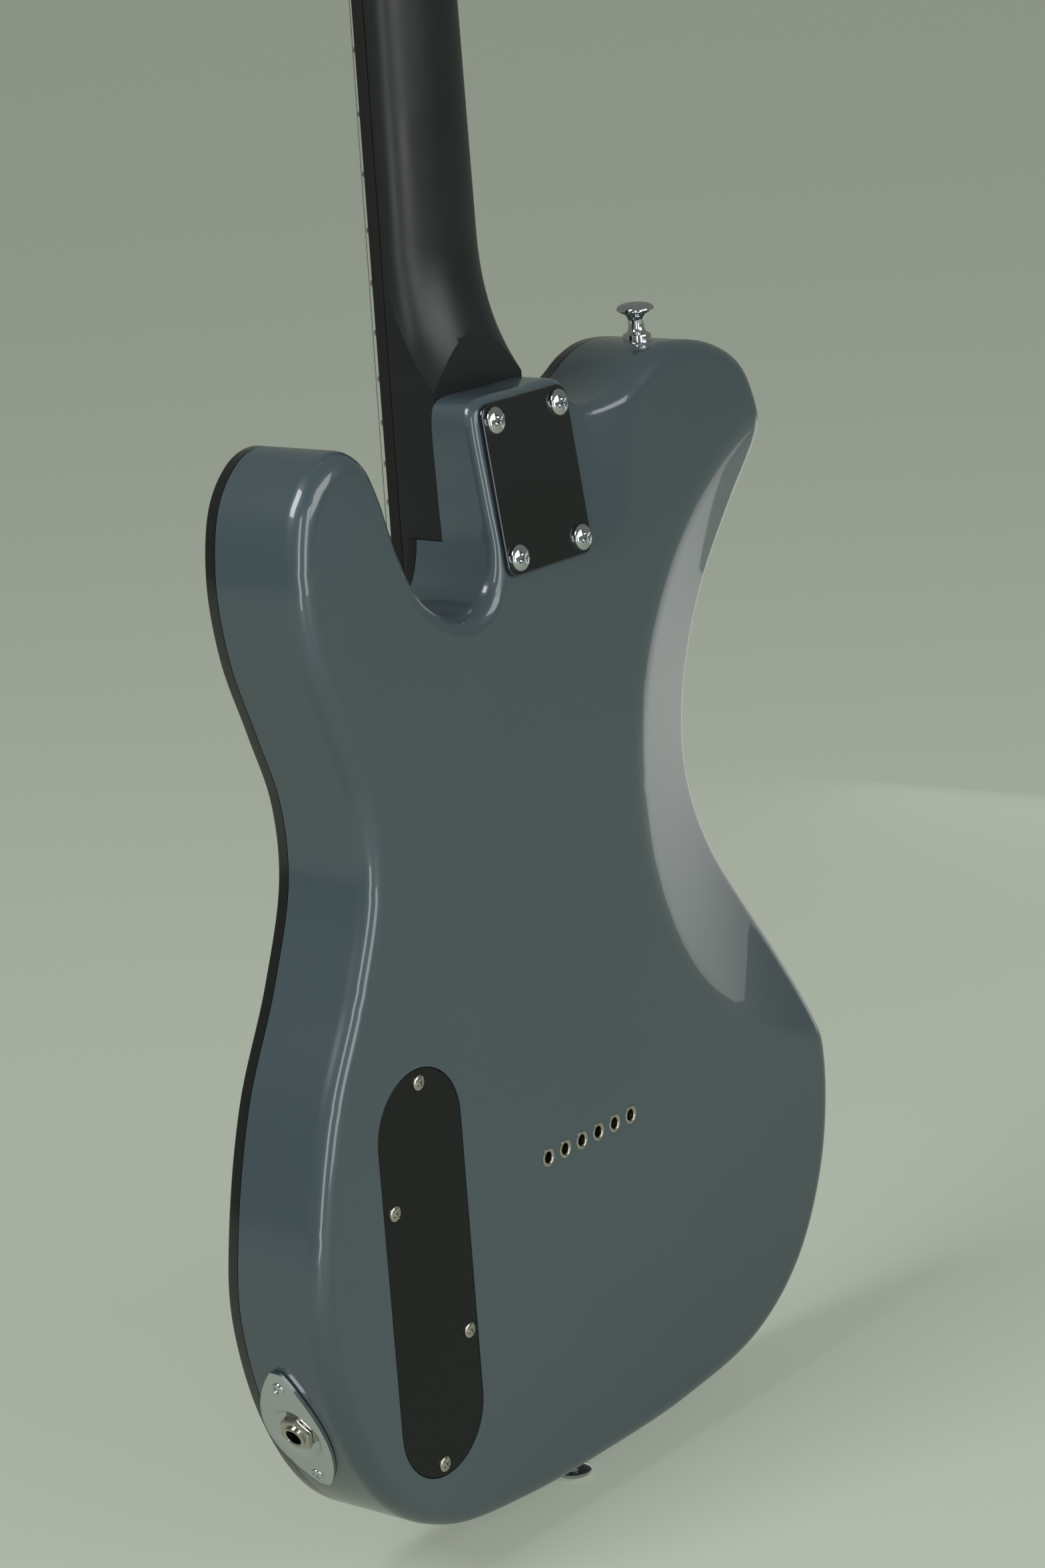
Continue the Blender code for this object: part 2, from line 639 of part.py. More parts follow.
def make_neck_plate():
    frame = frame_empty("neck_plate_frame", tilted_frame())
    width, height, thick = PLATE_SIZE
    outline = rounded_rectangle(0, 0, width, height, 5 * MM)
    mesh = plate("neck_plate", outline, GAP, GAP + thick)
    metal = add_object("neck_plate", mesh, CHROME, frame)
    bevel = metal.modifiers.new("edge", "BEVEL")
    bevel.width = 0.8 * MM
    bevel.segments = 1
    bevel.limit_method = "ANGLE"
    bevel.angle_limit = math.radians(60)
    holes = [rod((x, -3 * MM, z), (x, 5 * MM, z), SCREW_RADIUS + GAP, 10) for x, z in screw_places()]
    holes = add_object("plate_holes", together("plate_holes", holes), parent=frame)
    boolean(metal, holes)
    seat = 2 * GAP + thick
    profile = [(0, 2.5 * MM), (2.2 * MM, 2.3 * MM), (3.9 * MM, 1.5 * MM), (SCREW_HEAD_RADIUS, 0.5 * MM),
               (SCREW_HEAD_RADIUS, 0), (SCREW_RADIUS, 0), (SCREW_RADIUS, 3 * MM - SCREW_LENGTH),
               (0, -SCREW_LENGTH)]
    screw = turned("neck_screw", profile, 12)
    for number, (x, z) in enumerate(screw_places(), 1):
        place = Matrix.Translation((x, seat, z)) @ along((0, 1, 0))
        add_object(f"neck_screw_{number}", screw.copy(), CHROME, frame, place)
    bpy.data.meshes.remove(screw)


def make_strap_buttons():
    profile = [(0, 14 * MM), (3.2 * MM, 14 * MM), (6.6 * MM, 13.2 * MM), (7.3 * MM, 11.8 * MM),
               (6.2 * MM, 10.6 * MM), (3.4 * MM, 9.2 * MM), (3.0 * MM, 5.5 * MM), (3.8 * MM, 2.6 * MM),
               (5.5 * MM, 1.6 * MM), (5.5 * MM, GAP), (1.9 * MM, GAP), (1.9 * MM, -22 * MM),
               (0, -25 * MM)]
    button = turned("strap_button", profile, 16)
    for name, (place, axis) in zip(("strap_button_upper", "strap_button_lower"), strap_buttons()):
        add_object(name, button.copy(), CHROME, matrix=Matrix.Translation(place) @ along(axis))
    bpy.data.meshes.remove(button)


def make_ferrules():
    profile = [(2.7, -0.2), (3.5, -0.1), (3.5, -9.0), (1.2, -9.0), (1.2, -7.5), (2.7, -7.5), (2.7, -0.2)]
    cup = turned("string_ferrule", [(r * MM, z * MM) for r, z in profile], 14)
    for number in range(1, STRINGS + 1):
        place = Matrix.Translation((string_x(number, SADDLE_LINE), 0, FERRULE_LINE)) @ along((0, 1, 0))
        add_object(f"string_ferrule_{number}", cup.copy(), NICKEL, matrix=place)
    bpy.data.meshes.remove(cup)


def make_bridge():
    face = -THICKNESS - GAP
    low, high = FERRULE_LINE - 20 * MM, FERRULE_LINE + 24 * MM
    base = add_object("bridge_plate", plate("bridge_plate", rounded_rectangle(
        0, (low + high) / 2, 76 * MM, high - low, 3 * MM, 2), face - 2 * MM, face), CHROME)
    lip = box((-33 * MM, face - 8.5 * MM, low + 0.5 * MM), (33 * MM, face - 1 * MM, low + 3.5 * MM))
    boolean(base, add_object("bridge_lip", lip), "UNION")
    screw_y = face - 6.0 * MM
    screws = []
    holes = []
    for number in range(1, STRINGS + 1):
        x = string_x(number, SADDLE_LINE)
        screws.append(rod((x, screw_y, low - 1.2 * MM), (x, screw_y, FERRULE_LINE - 2 * MM), 1.1 * MM, 6))
        holes.append(rod((x, face - 5 * MM, FERRULE_LINE), (x, face + 5 * MM, FERRULE_LINE), 1.6 * MM, 8))
    boolean(base, add_object("intonation_screws", together("intonation_screws", screws)), "UNION")
    boolean(base, add_object("bridge_holes", together("bridge_holes", holes)))
    foot = face - 2 * MM - GAP
    for number in range(1, STRINGS + 1):
        x = string_x(number, SADDLE_LINE)
        ridge = STRING_Y_SADDLE + STRING_RADII[number - 1] + GAP
        side = [(-10.5, foot), (14.5, foot), (14.5, foot - 4.5 * MM), (9, ridge), (6.9, ridge),
                (5.9, foot - 7.0 * MM), (-10.5, foot - 7.0 * MM)]
        sections = []
        for sx in (-1, 1):
            sections.append([(x + sx * 4.95 * MM, y, FERRULE_LINE + z * MM) for z, y in side])
        saddle = add_object(f"bridge_saddle_{number}", loft("saddle", sections), CHROME)
        slot = box((x - 1.7 * MM, -70 * MM, FERRULE_LINE - 8 * MM),
                   (x + 1.7 * MM, -40 * MM, FERRULE_LINE + 5.6 * MM))
        hole = rod((x, screw_y, FERRULE_LINE - 12 * MM), (x, screw_y, FERRULE_LINE - 7 * MM), 1.5 * MM, 8)
        boolean(saddle, add_object(f"saddle_slot_{number}", slot))
        boolean(saddle, add_object(f"saddle_hole_{number}", hole))


def string_path(number):
    """From the ball end in the ferrule, over the saddle and the nut, to the wraps on the post."""
    radius = STRING_RADII[number - 1]
    x = string_x(number, SADDLE_LINE)
    post_x, post_z = post_place(number)
    wrap = POST_RADIUS + GAP + radius
    path = [(x, -5.5 * MM, FERRULE_LINE), (x, -46 * MM, FERRULE_LINE),
            (x, -48.5 * MM, FERRULE_LINE + 0.6 * MM),
            (x, STRING_Y_SADDLE + 1.2 * MM, FERRULE_LINE + 5.6 * MM),
            (x, STRING_Y_SADDLE, FERRULE_LINE + 7.2 * MM),
            (string_x(number, NUT_LINE), STRING_Y_NUT, NUT_LINE),
            (string_x(number, NUT_LINE + 5 * MM), STRING_Y_NUT + 0.1 * MM, NUT_LINE + 5 * MM)]
    turns, steps = 1.5, 18
    drop = (2 * radius + 0.25 * MM) * turns
    for s in range(steps + 1):
        turn = math.radians(360 * turns * s / steps)
        path.append((post_x + wrap * math.cos(turn), WRAP_Y + drop * s / steps,
                     post_z + wrap * math.sin(turn)))
    return path


def make_strings():
    for number in range(1, STRINGS + 1):
        path = string_path(number)
        wire = tube(f"string_{number}", path, STRING_RADII[number - 1])
        wire = add_object(f"string_{number}", wire, STEEL)
        x = path[0][0]
        ball = rod((x, -3.5 * MM, FERRULE_LINE), (x, -7.0 * MM, FERRULE_LINE), 1.9 * MM, 8)
        boolean(wire, add_object(f"ball_end_{number}", ball), "UNION")


def tuner_housing():
    """The gear case, the threaded bushing through the headstock and the nut on its face."""
    case = box((-13 * MM, GAP, -7.5 * MM), (6.5 * MM, 11.5 * MM, 12.0 * MM))
    bm = bmesh.new()
    bm.from_mesh(case)
    upright = [e for e in bm.edges if abs((e.verts[0].co - e.verts[1].co).normalized().y) > 0.9]
    bmesh.ops.bevel(bm, geom=upright, offset=2.5 * MM, segments=2, affect="EDGES", profile=0.5)
    bm.to_mesh(case)
    bm.free()
    thick = HEAD_BACK - HEAD_FACE
    sleeve = rod((0, 3 * MM, 0), (0, -thick - 2.8 * MM, 0), 4.4 * MM, 12)
    nut = rod((0, -thick - GAP, 0), (0, -thick - GAP - 2.2 * MM, 0), 6.6 * MM, 6)
    return case, sleeve, nut


def make_tuners():
    case, sleeve, nut = tuner_housing()
    chamber = rod((0, 1.5 * MM, 0), (0, 6.5 * MM, 0), 5.1 * MM, 12)
    bore = rod((0, 2 * MM, 0), (0, -30 * MM, 0), POST_RADIUS + GAP, 12)
    worm_bore = rod((-16 * MM, WORM_DEPTH, WORM_OFFSET), (4 * MM, WORM_DEPTH, WORM_OFFSET), 2.5 * MM, 10)
    post = [(0, 23), (2.6, 23), (3.0, 22.4), (3.0, -1.8), (4.8, -1.8), (4.8, -5.6), (0, -5.6)]
    post = turned("tuner_post", [(r * MM, z * MM) for r, z in post], 12)
    shaft = [(0, 19), (1.8, 19), (1.8, 9), (2.2, 9), (2.2, -3.6), (0, -3.6)]
    shaft = turned("tuner_button", [(r * MM, z * MM) for r, z in shaft], 10)
    knob = box((-3.0 * MM, -8.5 * MM, 17.5 * MM), (3.0 * MM, 8.5 * MM, 29 * MM))
    bm = bmesh.new()
    bm.from_mesh(knob)
    corners = [e for e in bm.edges if abs((e.verts[0].co - e.verts[1].co).normalized().x) > 0.9]
    bmesh.ops.bevel(bm, geom=corners, offset=4.0 * MM, segments=3, affect="EDGES", profile=0.5)
    bm.to_mesh(knob)
    bm.free()
    cuts = {"chamber": chamber, "bore": bore, "worm_bore": worm_bore}
    for number in range(1, STRINGS + 1):
        x, z = post_place(number)
        frame = frame_empty(f"tuner_frame_{number}", Matrix.Translation((x, HEAD_BACK, z))
                            @ Matrix.Rotation(TUNER_TURN, 4, "Y"))
        housing = add_object(f"tuner_housing_{number}", case.copy(), CHROME, frame)
        for name, mesh in (("sleeve", sleeve), ("nut", nut)):
            boolean(housing, add_object(f"tuner_{name}_{number}", mesh.copy(), parent=frame), "UNION")
        for name, mesh in cuts.items():
            boolean(housing, add_object(f"tuner_{name}_{number}", mesh.copy(), parent=frame))
        add_object(f"tuner_post_{number}", post.copy(), CHROME, frame, along((0, -1, 0)))
        place = Matrix.Translation((0, WORM_DEPTH, WORM_OFFSET)) @ along((-1, 0, 0))
        button = add_object(f"tuner_button_{number}", shaft.copy(), CHROME, frame, place)
        knob_tool = add_object(f"tuner_knob_{number}", knob.copy(), parent=frame, matrix=place)
        boolean(button, knob_tool, "UNION")
    for mesh in (case, sleeve, nut, chamber, bore, worm_bore, post, shaft, knob):
        bpy.data.meshes.remove(mesh)


def make_pickups():
    for name, z in (("bridge_pickup", BRIDGE_PICKUP), ("neck_pickup", NECK_PICKUP)):
        top = PICKUP_TOP if name == "bridge_pickup" else -50.5 * MM
        outline = rounded_rectangle(0, z, *PICKUP_SIZE, 3 * MM, 2)
        pickup = add_object(name, plate(name, outline, top, -27 * MM), PICKUP_PLASTIC)
        poles = []
        for number in range(1, STRINGS + 1):
            x = string_x(number, z)
            for row in (-9.5 * MM, 9.5 * MM):
                poles.append(rod((x, top - 0.5 * MM, z + row), (x, top + 1 * MM, z + row), 2.4 * MM, 8))
        boolean(pickup, add_object(name + "_poles", together("poles", poles)), "UNION")


def make_cover():
    outline = stadium(COVER_X, *COVER_Z, COVER_WIDTH)
    cover = plate("rear_cover", outline, -COVER_THICKNESS - 0.1 * MM, -0.1 * MM)
    add_object("rear_cover", cover, COVER_PLASTIC)


def make_controls():
    case_low, case_high = CAVITY_FLOOR + GAP, CAVITY_FLOOR + 9 * MM
    bodies = [rod((COVER_X, case_low, z), (COVER_X, case_high, z), 8 * MM, 16) for z in (VOLUME_Z, TONE_Z)]
    pots = add_object("control_pots", bodies[0], NICKEL)
    boolean(pots, add_object("tone_pot_case", bodies[1]), "UNION")
    link = Vector((COVER_X + 3 * MM, case_high - 2.5 * MM, 0))
    link = rod(link + Vector((0, 0, TONE_Z)), link + Vector((0, 0, VOLUME_Z)), 1.8 * MM, 8)
    boolean(pots, add_object("tone_capacitor", link), "UNION")
    sleeves = []
    bores = []
    for z in (VOLUME_Z, TONE_Z):
        sleeves.append(rod((COVER_X, case_low + MM, z), (COVER_X, -THICKNESS - 2.5 * MM, z), 3.6 * MM, 12))
        bores.append(rod((COVER_X, case_low + 5 * MM, z), (COVER_X, -60 * MM, z), 2.7 * MM, 12))
    boolean(pots, add_object("pot_sleeves", together("pot_sleeves", sleeves)), "UNION")
    boolean(pots, add_object("pot_bores", together("pot_bores", bores)))
    base = THICKNESS + 3.2 * MM
    profile = [(0, base + 16 * MM), (7.6 * MM, base + 16 * MM), (8.4 * MM, base + 15.2 * MM),
               (9.4 * MM, base + 0.8 * MM), (9.4 * MM, base), (2.4 * MM, base), (2.4 * MM, 35 * MM),
               (0, 35 * MM)]
    knob = turned("knob", profile, 20)
    for name, z in (("volume_knob", VOLUME_Z), ("tone_knob", TONE_Z)):
        place = Matrix.Translation((COVER_X, 0, z)) @ along((0, -1, 0))
        add_object(name, knob.copy(), CHROME, matrix=place)
    bpy.data.meshes.remove(knob)


def make_switch():
    pivot = (COVER_X, -41.5 * MM, SWITCH_Z)
    case = box((COVER_X - 8 * MM, CAVITY_FLOOR + GAP, SWITCH_Z - 11 * MM),
               (COVER_X + 8 * MM, CAVITY_FLOOR + 20 * MM, SWITCH_Z + 11 * MM))
    switch = add_object("selector_switch", case, NICKEL)
    sleeve = rod((COVER_X, CAVITY_FLOOR + MM, SWITCH_Z), (COVER_X, -THICKNESS - 3.5 * MM, SWITCH_Z),
                 5.9 * MM, 16)
    boolean(switch, add_object("switch_sleeve", sleeve), "UNION")
    bore = rod((COVER_X, -60 * MM, SWITCH_Z), (COVER_X, -30 * MM, SWITCH_Z), 3.9 * MM, 12)
    boolean(switch, add_object("switch_bore", bore))
    profile = [(0, 21), (1.9, 20.2), (2.7, 18.4), (2.0, 15.5), (1.2, 11), (1.2, -6), (0, -6)]
    lever = turned("selector_lever", [(r * MM, z * MM) for r, z in profile], 12)
    add_object("selector_lever", lever, CHROME, matrix=Matrix.Translation(pivot) @ along((0, -1, 0)))


def jack_plate_mesh():
    """An oval plate with pointed ends, bent to the curve of the side wall."""
    half_length, half_height = 28.0 * MM, 14.5 * MM
    bend = WALL_RADIUS + GAP
    columns, rows = 14, 6
    bm = bmesh.new()
    layers = []
    for lift in (0.0, 1.5 * MM):
        grid = []
        for i in range(columns + 1):
            along_plate = half_length * (2 * i / columns - 1)
            across_plate = half_height * math.cos(math.pi / 2 * 0.94 * (2 * i / columns - 1)) ** 0.8
            turn = along_plate / bend
            reach = bend + lift
            place = (reach * math.cos(turn) - WALL_RADIUS, reach * math.sin(turn))
            grid.append([bm.verts.new((place[0], across_plate * (2 * j / rows - 1), place[1]))
                         for j in range(rows + 1)])
        layers.append(grid)
    low, high = layers
    for i in range(columns):
        for j in range(rows):
            bm.faces.new((low[i][j], low[i][j + 1], low[i + 1][j + 1], low[i + 1][j]))
            bm.faces.new((high[i][j], high[i + 1][j], high[i + 1][j + 1], high[i][j + 1]))
        for j in (0, rows):
            bm.faces.new((low[i][j], low[i + 1][j], high[i + 1][j], high[i][j]))
    for i in (0, columns):
        for j in range(rows):
            bm.faces.new((low[i][j], high[i][j], high[i][j + 1], low[i][j + 1]))
    return finish_mesh("jack_plate", bm)


def make_jack():
    frame = frame_empty("jack_frame", jack_frame())
    metal = add_object("jack_plate", jack_plate_mesh(), CHROME, frame)
    hole = rod((-10 * MM, 0, 0), (10 * MM, 0, 0), 5.0 * MM, 12)
    boolean(metal, add_object("jack_plate_hole", hole, parent=frame))
    profile = [(3.3 * MM, 4.0 * MM), (4.6 * MM, 3.8 * MM), (4.6 * MM, 3.4 * MM), (6.8 * MM, 3.4 * MM),
               (6.8 * MM, 2.1 * MM), (4.6 * MM, 2.1 * MM), (4.6 * MM, -2.5 * MM), (9.0 * MM, -2.5 * MM),
               (9.0 * MM, -22 * MM), (3.3 * MM, -22 * MM), (3.3 * MM, 4.0 * MM)]
    socket = turned("output_jack", profile, 16)
    add_object("output_jack", socket, NICKEL, frame, along((1, 0, 0)))


make_body()
make_neck()
make_truss_rod()
make_fretboard()
make_nut()
make_neck_plate()
make_strap_buttons()
make_ferrules()
make_bridge()
make_strings()
make_tuners()
make_pickups()
make_cover()
make_controls()
make_switch()
make_jack()
bpy.context.view_layer.update()
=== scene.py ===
# %% [markdown]
# A baritone electric guitar, seen from behind: a slate-grey lacquered body with a black edge band,
# a satin black bolt-on neck, and chrome fittings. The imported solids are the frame. This file gives
# each visible piece its fine surface and its finish, and sets up the camera and a plain studio.

# %% Load the frame
import json
import math

import bmesh
import bpy
from mathutils import Matrix, Vector


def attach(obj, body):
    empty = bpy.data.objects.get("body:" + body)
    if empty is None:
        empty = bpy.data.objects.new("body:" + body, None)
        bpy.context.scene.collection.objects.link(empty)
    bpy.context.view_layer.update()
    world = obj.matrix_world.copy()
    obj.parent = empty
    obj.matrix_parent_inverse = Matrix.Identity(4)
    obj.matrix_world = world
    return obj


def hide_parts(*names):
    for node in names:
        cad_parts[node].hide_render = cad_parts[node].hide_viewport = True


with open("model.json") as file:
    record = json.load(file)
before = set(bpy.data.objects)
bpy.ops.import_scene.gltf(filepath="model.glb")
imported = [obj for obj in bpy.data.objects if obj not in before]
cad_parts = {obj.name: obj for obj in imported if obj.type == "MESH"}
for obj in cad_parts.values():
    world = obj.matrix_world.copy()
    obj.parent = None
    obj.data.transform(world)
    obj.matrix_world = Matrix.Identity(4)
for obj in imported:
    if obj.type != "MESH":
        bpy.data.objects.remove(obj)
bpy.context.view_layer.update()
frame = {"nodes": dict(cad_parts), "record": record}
MM = 0.001

# %% [markdown]
# The guitar's own sizes come first, as its maker would mark them: the scale, the string pitches,
# and the lines across which the neck and the hardware are set out. They are in metres, with the
# tail at zero height, the flat back at Y = 0 and the face at minus the thickness.

# %% Driving sizes
SCALE_LENGTH = 685.8 * MM
FERRULE_LINE = 132.5 * MM
SADDLE_LINE = FERRULE_LINE + 6.5 * MM
NUT_LINE = SADDLE_LINE + SCALE_LENGTH
STRINGS = range(1, 7)
BRIDGE_PITCH = 10.5 * MM
NUT_PITCH = 7.2 * MM
STRING_RADII = [r * MM for r in (0.18, 0.23, 0.33, 0.48, 0.64, 0.79)]
THICKNESS = 44.5 * MM
GLUE_LINE = -47.5 * MM
BOARD_TOP = GLUE_LINE - 6.0 * MM
NECK_END = 339.5 * MM
FRETBOARD_END = 326.0 * MM
HEEL_BACK = -27.3 * MM
HEEL_TOP = 421.0 * MM
TAPER_START = 356.0 * MM
TAPER_ANGLE = math.radians(7.5)
PLATE_CENTRE = 387.6 * MM
COVER_X = 99.5 * MM
COVER_Z = (32.5 * MM, 190.5 * MM)
JACK = Vector((150.3 * MM, -26.0 * MM, 64.1 * MM))
JACK_TURN = math.radians(22.8)
WALL_RADIUS = 150.0 * MM
GAP = 0.3 * MM

# %% [markdown]
# A finish is a small tree of shader nodes. One helper adds a node with its settings and links, and
# another turns a hex colour, as a painter would name it, into the linear values that light needs.

# %% Helpers for finishes


def linear(hex_colour):
    """An sRGB colour such as "4a5660" as linear red, green, blue and alpha."""
    parts = [int(hex_colour[i:i + 2], 16) / 255 for i in (0, 2, 4)]
    return (*[c / 12.92 if c <= 0.04045 else ((c + 0.055) / 1.055) ** 2.4 for c in parts], 1.0)


def add_node(tree, kind, inputs=None, **settings):
    """A node with its settings, and with each input set to a value or linked to a socket."""
    made = tree.nodes.new(kind)
    for name, value in settings.items():
        setattr(made, name, value)
    for name, value in (inputs or {}).items():
        if isinstance(value, bpy.types.NodeSocket):
            tree.links.new(value, made.inputs[name])
        else:
            made.inputs[name].default_value = value
    return made


def new_finish(name, colour, roughness, **sockets):
    """A material with the shader's plain sockets set; patterns are linked afterwards."""
    made = bpy.data.materials.new(name)
    made.use_nodes = True
    shader = made.node_tree.nodes["Principled BSDF"]
    shader.inputs["Base Color"].default_value = linear(colour)
    shader.inputs["Roughness"].default_value = roughness
    for socket, value in sockets.items():
        shader.inputs[socket.replace("_", " ")].default_value = value
    return made, made.node_tree, shader


def object_place(tree):
    return add_node(tree, "ShaderNodeTexCoord").outputs["Object"]


def vary(tree, shader, socket, scale, low, high, detail=3.0, place=None):
    """Lets a noise of so many cells a metre move one socket between two values."""
    noise = add_node(tree, "ShaderNodeTexNoise", {"Vector": place or object_place(tree), "Scale": scale,
                                                  "Detail": detail})
    spread = add_node(tree, "ShaderNodeMapRange", {"Value": noise.outputs["Fac"], "From Min": 0.3,
                                                   "From Max": 0.7, "To Min": low, "To Max": high})
    tree.links.new(spread.outputs["Result"], shader.inputs[socket])
    return noise


def tint(tree, shader, noise, first, second):
    """Blends the base colour between two hex colours by a noise."""
    mix = add_node(tree, "ShaderNodeMix", {"Factor": noise.outputs["Fac"]}, data_type="RGBA")
    mix.inputs["A"].default_value = linear(first)
    mix.inputs["B"].default_value = linear(second)
    tree.links.new(mix.outputs["Result"], shader.inputs["Base Color"])


def roughen(tree, shader, scale, height_mm, strength=0.3, place=None):
    """A fine bump, as deep as the surface's grain."""
    noise = add_node(tree, "ShaderNodeTexNoise", {"Vector": place or object_place(tree), "Scale": scale,
                                                  "Detail": 4.0})
    bump = add_node(tree, "ShaderNodeBump", {"Height": noise.outputs["Fac"], "Strength": strength,
                                             "Distance": height_mm * MM})
    tree.links.new(bump.outputs["Normal"], shader.inputs["Normal"])
    return noise


# %% [markdown]
# The body wears polyester lacquer: solid colour under a clear coat, sprayed and buffed. The eye
# sees an even slate grey with mirror-sharp reflections on top, and the faintest waviness.

# %% Finish: slate lacquer
LACQUER, tree, shader = new_finish("slate_polyester_lacquer", "43535b", 0.32, Coat_Weight=1.0,
                                   Coat_Roughness=0.025, Coat_IOR=1.52)
mottle = add_node(tree, "ShaderNodeTexNoise", {"Vector": object_place(tree), "Scale": 9.0, "Detail": 2.0})
tint(tree, shader, mottle, "415159", "475760")
wave = add_node(tree, "ShaderNodeTexNoise", {"Vector": object_place(tree), "Scale": 38.0, "Detail": 1.0})
orange_peel = add_node(tree, "ShaderNodeBump", {"Height": wave.outputs["Fac"], "Strength": 0.12,
                                                "Distance": 0.05 * MM})
tree.links.new(orange_peel.outputs["Normal"], shader.inputs["Coat Normal"])

# %% [markdown]
# The edge band is black plastic under the same clear coat. The neck is maple sprayed satin black:
# a broad, soft sheen instead of a mirror. The board is close-grained dark wood, oiled.

# %% Finishes: band, neck and board
BAND, tree, shader = new_finish("black_edge_band", "0a0b0c", 0.2, Coat_Weight=0.8, Coat_Roughness=0.05)
vary(tree, shader, "Roughness", 60.0, 0.16, 0.26)
SATIN, tree, shader = new_finish("satin_black_maple", "15181b", 0.36, Specular_IOR_Level=0.55)
vary(tree, shader, "Roughness", 45.0, 0.33, 0.41)
roughen(tree, shader, 1800.0, 0.02, 0.25)
BOARD, tree, shader = new_finish("oiled_dark_board", "0e0d0c", 0.48)
grain_place = add_node(tree, "ShaderNodeMapping", {"Vector": object_place(tree), "Scale": (40.0, 40.0, 1.2)})
grain = roughen(tree, shader, 22.0, 0.05, 0.5, grain_place.outputs["Vector"])
tint(tree, shader, grain, "080707", "171412")

# %% [markdown]
# The fittings are steel or zinc plated with chrome, which mirrors the room, or with nickel, which
# is a touch warmer. Strings and frets are bare steel; the wound strings show their wrap as ribs,
# drawn here three times as coarse as the real 0.25 mm wire so that they can be seen at all.

# %% Finishes: metals
CHROME, tree, shader = new_finish("polished_chrome", "d3d5d8", 0.05, Metallic=1.0)
vary(tree, shader, "Roughness", 120.0, 0.03, 0.085)
DARK_CHROME, tree, shader = new_finish("polished_chrome_plate", "5c5e62", 0.045, Metallic=1.0)
vary(tree, shader, "Roughness", 90.0, 0.03, 0.07)
roughen(tree, shader, 30.0, 0.02, 0.1)
NICKEL, tree, shader = new_finish("nickel_plate", "c9c4ba", 0.16, Metallic=1.0)
vary(tree, shader, "Roughness", 300.0, 0.1, 0.24)
STEEL, tree, shader = new_finish("bright_steel", "b4b4b2", 0.22, Metallic=1.0)
vary(tree, shader, "Roughness", 500.0, 0.16, 0.32)
WOUND, tree, shader = new_finish("wound_steel_string", "a9a8a4", 0.3, Metallic=1.0)
ribs = add_node(tree, "ShaderNodeTexWave", {"Vector": object_place(tree), "Scale": 420.0},
                bands_direction="Z")
ribbed = add_node(tree, "ShaderNodeBump", {"Height": ribs.outputs["Fac"], "Strength": 0.6,
                                           "Distance": 0.1 * MM})
tree.links.new(ribbed.outputs["Normal"], shader.inputs["Normal"])

# %% [markdown]
# The rear cover is black laminate with a fine satin grain, and the pickups and the nut are moulded
# black plastic.

# %% Finishes: plastics
COVER, tree, shader = new_finish("satin_black_laminate", "0a0c0b", 0.3, Specular_IOR_Level=0.35)
vary(tree, shader, "Roughness", 220.0, 0.26, 0.36)
roughen(tree, shader, 900.0, 0.03, 0.35)
BOBBIN, tree, shader = new_finish("moulded_black_plastic", "0d0e0f", 0.25)
vary(tree, shader, "Roughness", 150.0, 0.2, 0.34)
NUT_PLASTIC, tree, shader = new_finish("black_nut_plastic", "191919", 0.35)
vary(tree, shader, "Roughness", 150.0, 0.3, 0.42)

# %% [markdown]
# Each finished piece gets smooth shading, which breaks only at real edges, and its finish. Then it
# rides on the body of the solid it stands for, and may take that solid's place, which is hidden.

# %% Helpers for shapes
BODY_OF = {n: body for body, nodes in frame["record"]["behaviour"]["bodies"].items() for n in nodes}


def place_object(name, mesh, material, smooth_angle=32):
    """Links a mesh as an object in the scene, shaded smooth but for its sharp edges."""
    thing = bpy.data.objects.new(name, mesh)
    bpy.context.scene.collection.objects.link(thing)
    mesh.materials.clear()
    mesh.materials.append(material)
    mesh.shade_smooth()
    mesh.set_sharp_from_angle(angle=math.radians(smooth_angle))
    weigh = thing.modifiers.new("weighted_normals", "WEIGHTED_NORMAL")
    weigh.keep_sharp = True
    return thing


def stand_for(thing, node, *more, replaces=True):
    """The piece rides with the node's body; it may also replace the node, which is then hidden."""
    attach(thing, BODY_OF[node])
    if replaces:
        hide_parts(node, *more)
    return thing


def to_mesh(name, bm):
    bmesh.ops.recalc_face_normals(bm, faces=bm.faces)
    mesh = bpy.data.meshes.new(name)
    bm.to_mesh(mesh)
    bm.free()
    return mesh


def loft(name, sections, closed=False):
    """A skin through rings of equally many points; closed joins the last ring to the first."""
    bm = bmesh.new()
    rings = [[bm.verts.new(p) for p in section] for section in sections]
    pairs = list(zip(rings, rings[1:]))
    if closed:
        pairs.append((rings[-1], rings[0]))
    for lower, upper in pairs:
        for i in range(len(lower)):
            j = (i + 1) % len(lower)
            bm.faces.new((lower[i], lower[j], upper[j], upper[i]))
    if not closed:
        bm.faces.new(reversed(rings[0]))
        bm.faces.new(rings[-1])
    return to_mesh(name, bm)


def modified(name, mesh, steps):
    """The mesh after a list of modifiers: (type, {setting: value}) each."""
    thing = bpy.data.objects.new(name + "_stock", mesh)
    bpy.context.scene.collection.objects.link(thing)
    tools = []
    for kind, settings in steps:
        step = thing.modifiers.new(kind.lower(), kind)
        for key, value in settings.items():
            if key == "object":
                tool = bpy.data.objects.new(name + "_tool", value)
                bpy.context.scene.collection.objects.link(tool)
                tools.append(tool)
                value = tool
            setattr(step, key, value)
    bpy.context.view_layer.update()
    graph = bpy.context.evaluated_depsgraph_get()
    made = bpy.data.meshes.new_from_object(thing.evaluated_get(graph))
    made.name = name
    for item in [thing] + tools:
        bpy.data.objects.remove(item, do_unlink=True)
    return made


def cut(*meshes):
    return [("BOOLEAN", {"operation": "DIFFERENCE", "solver": "EXACT", "object": m}) for m in meshes]


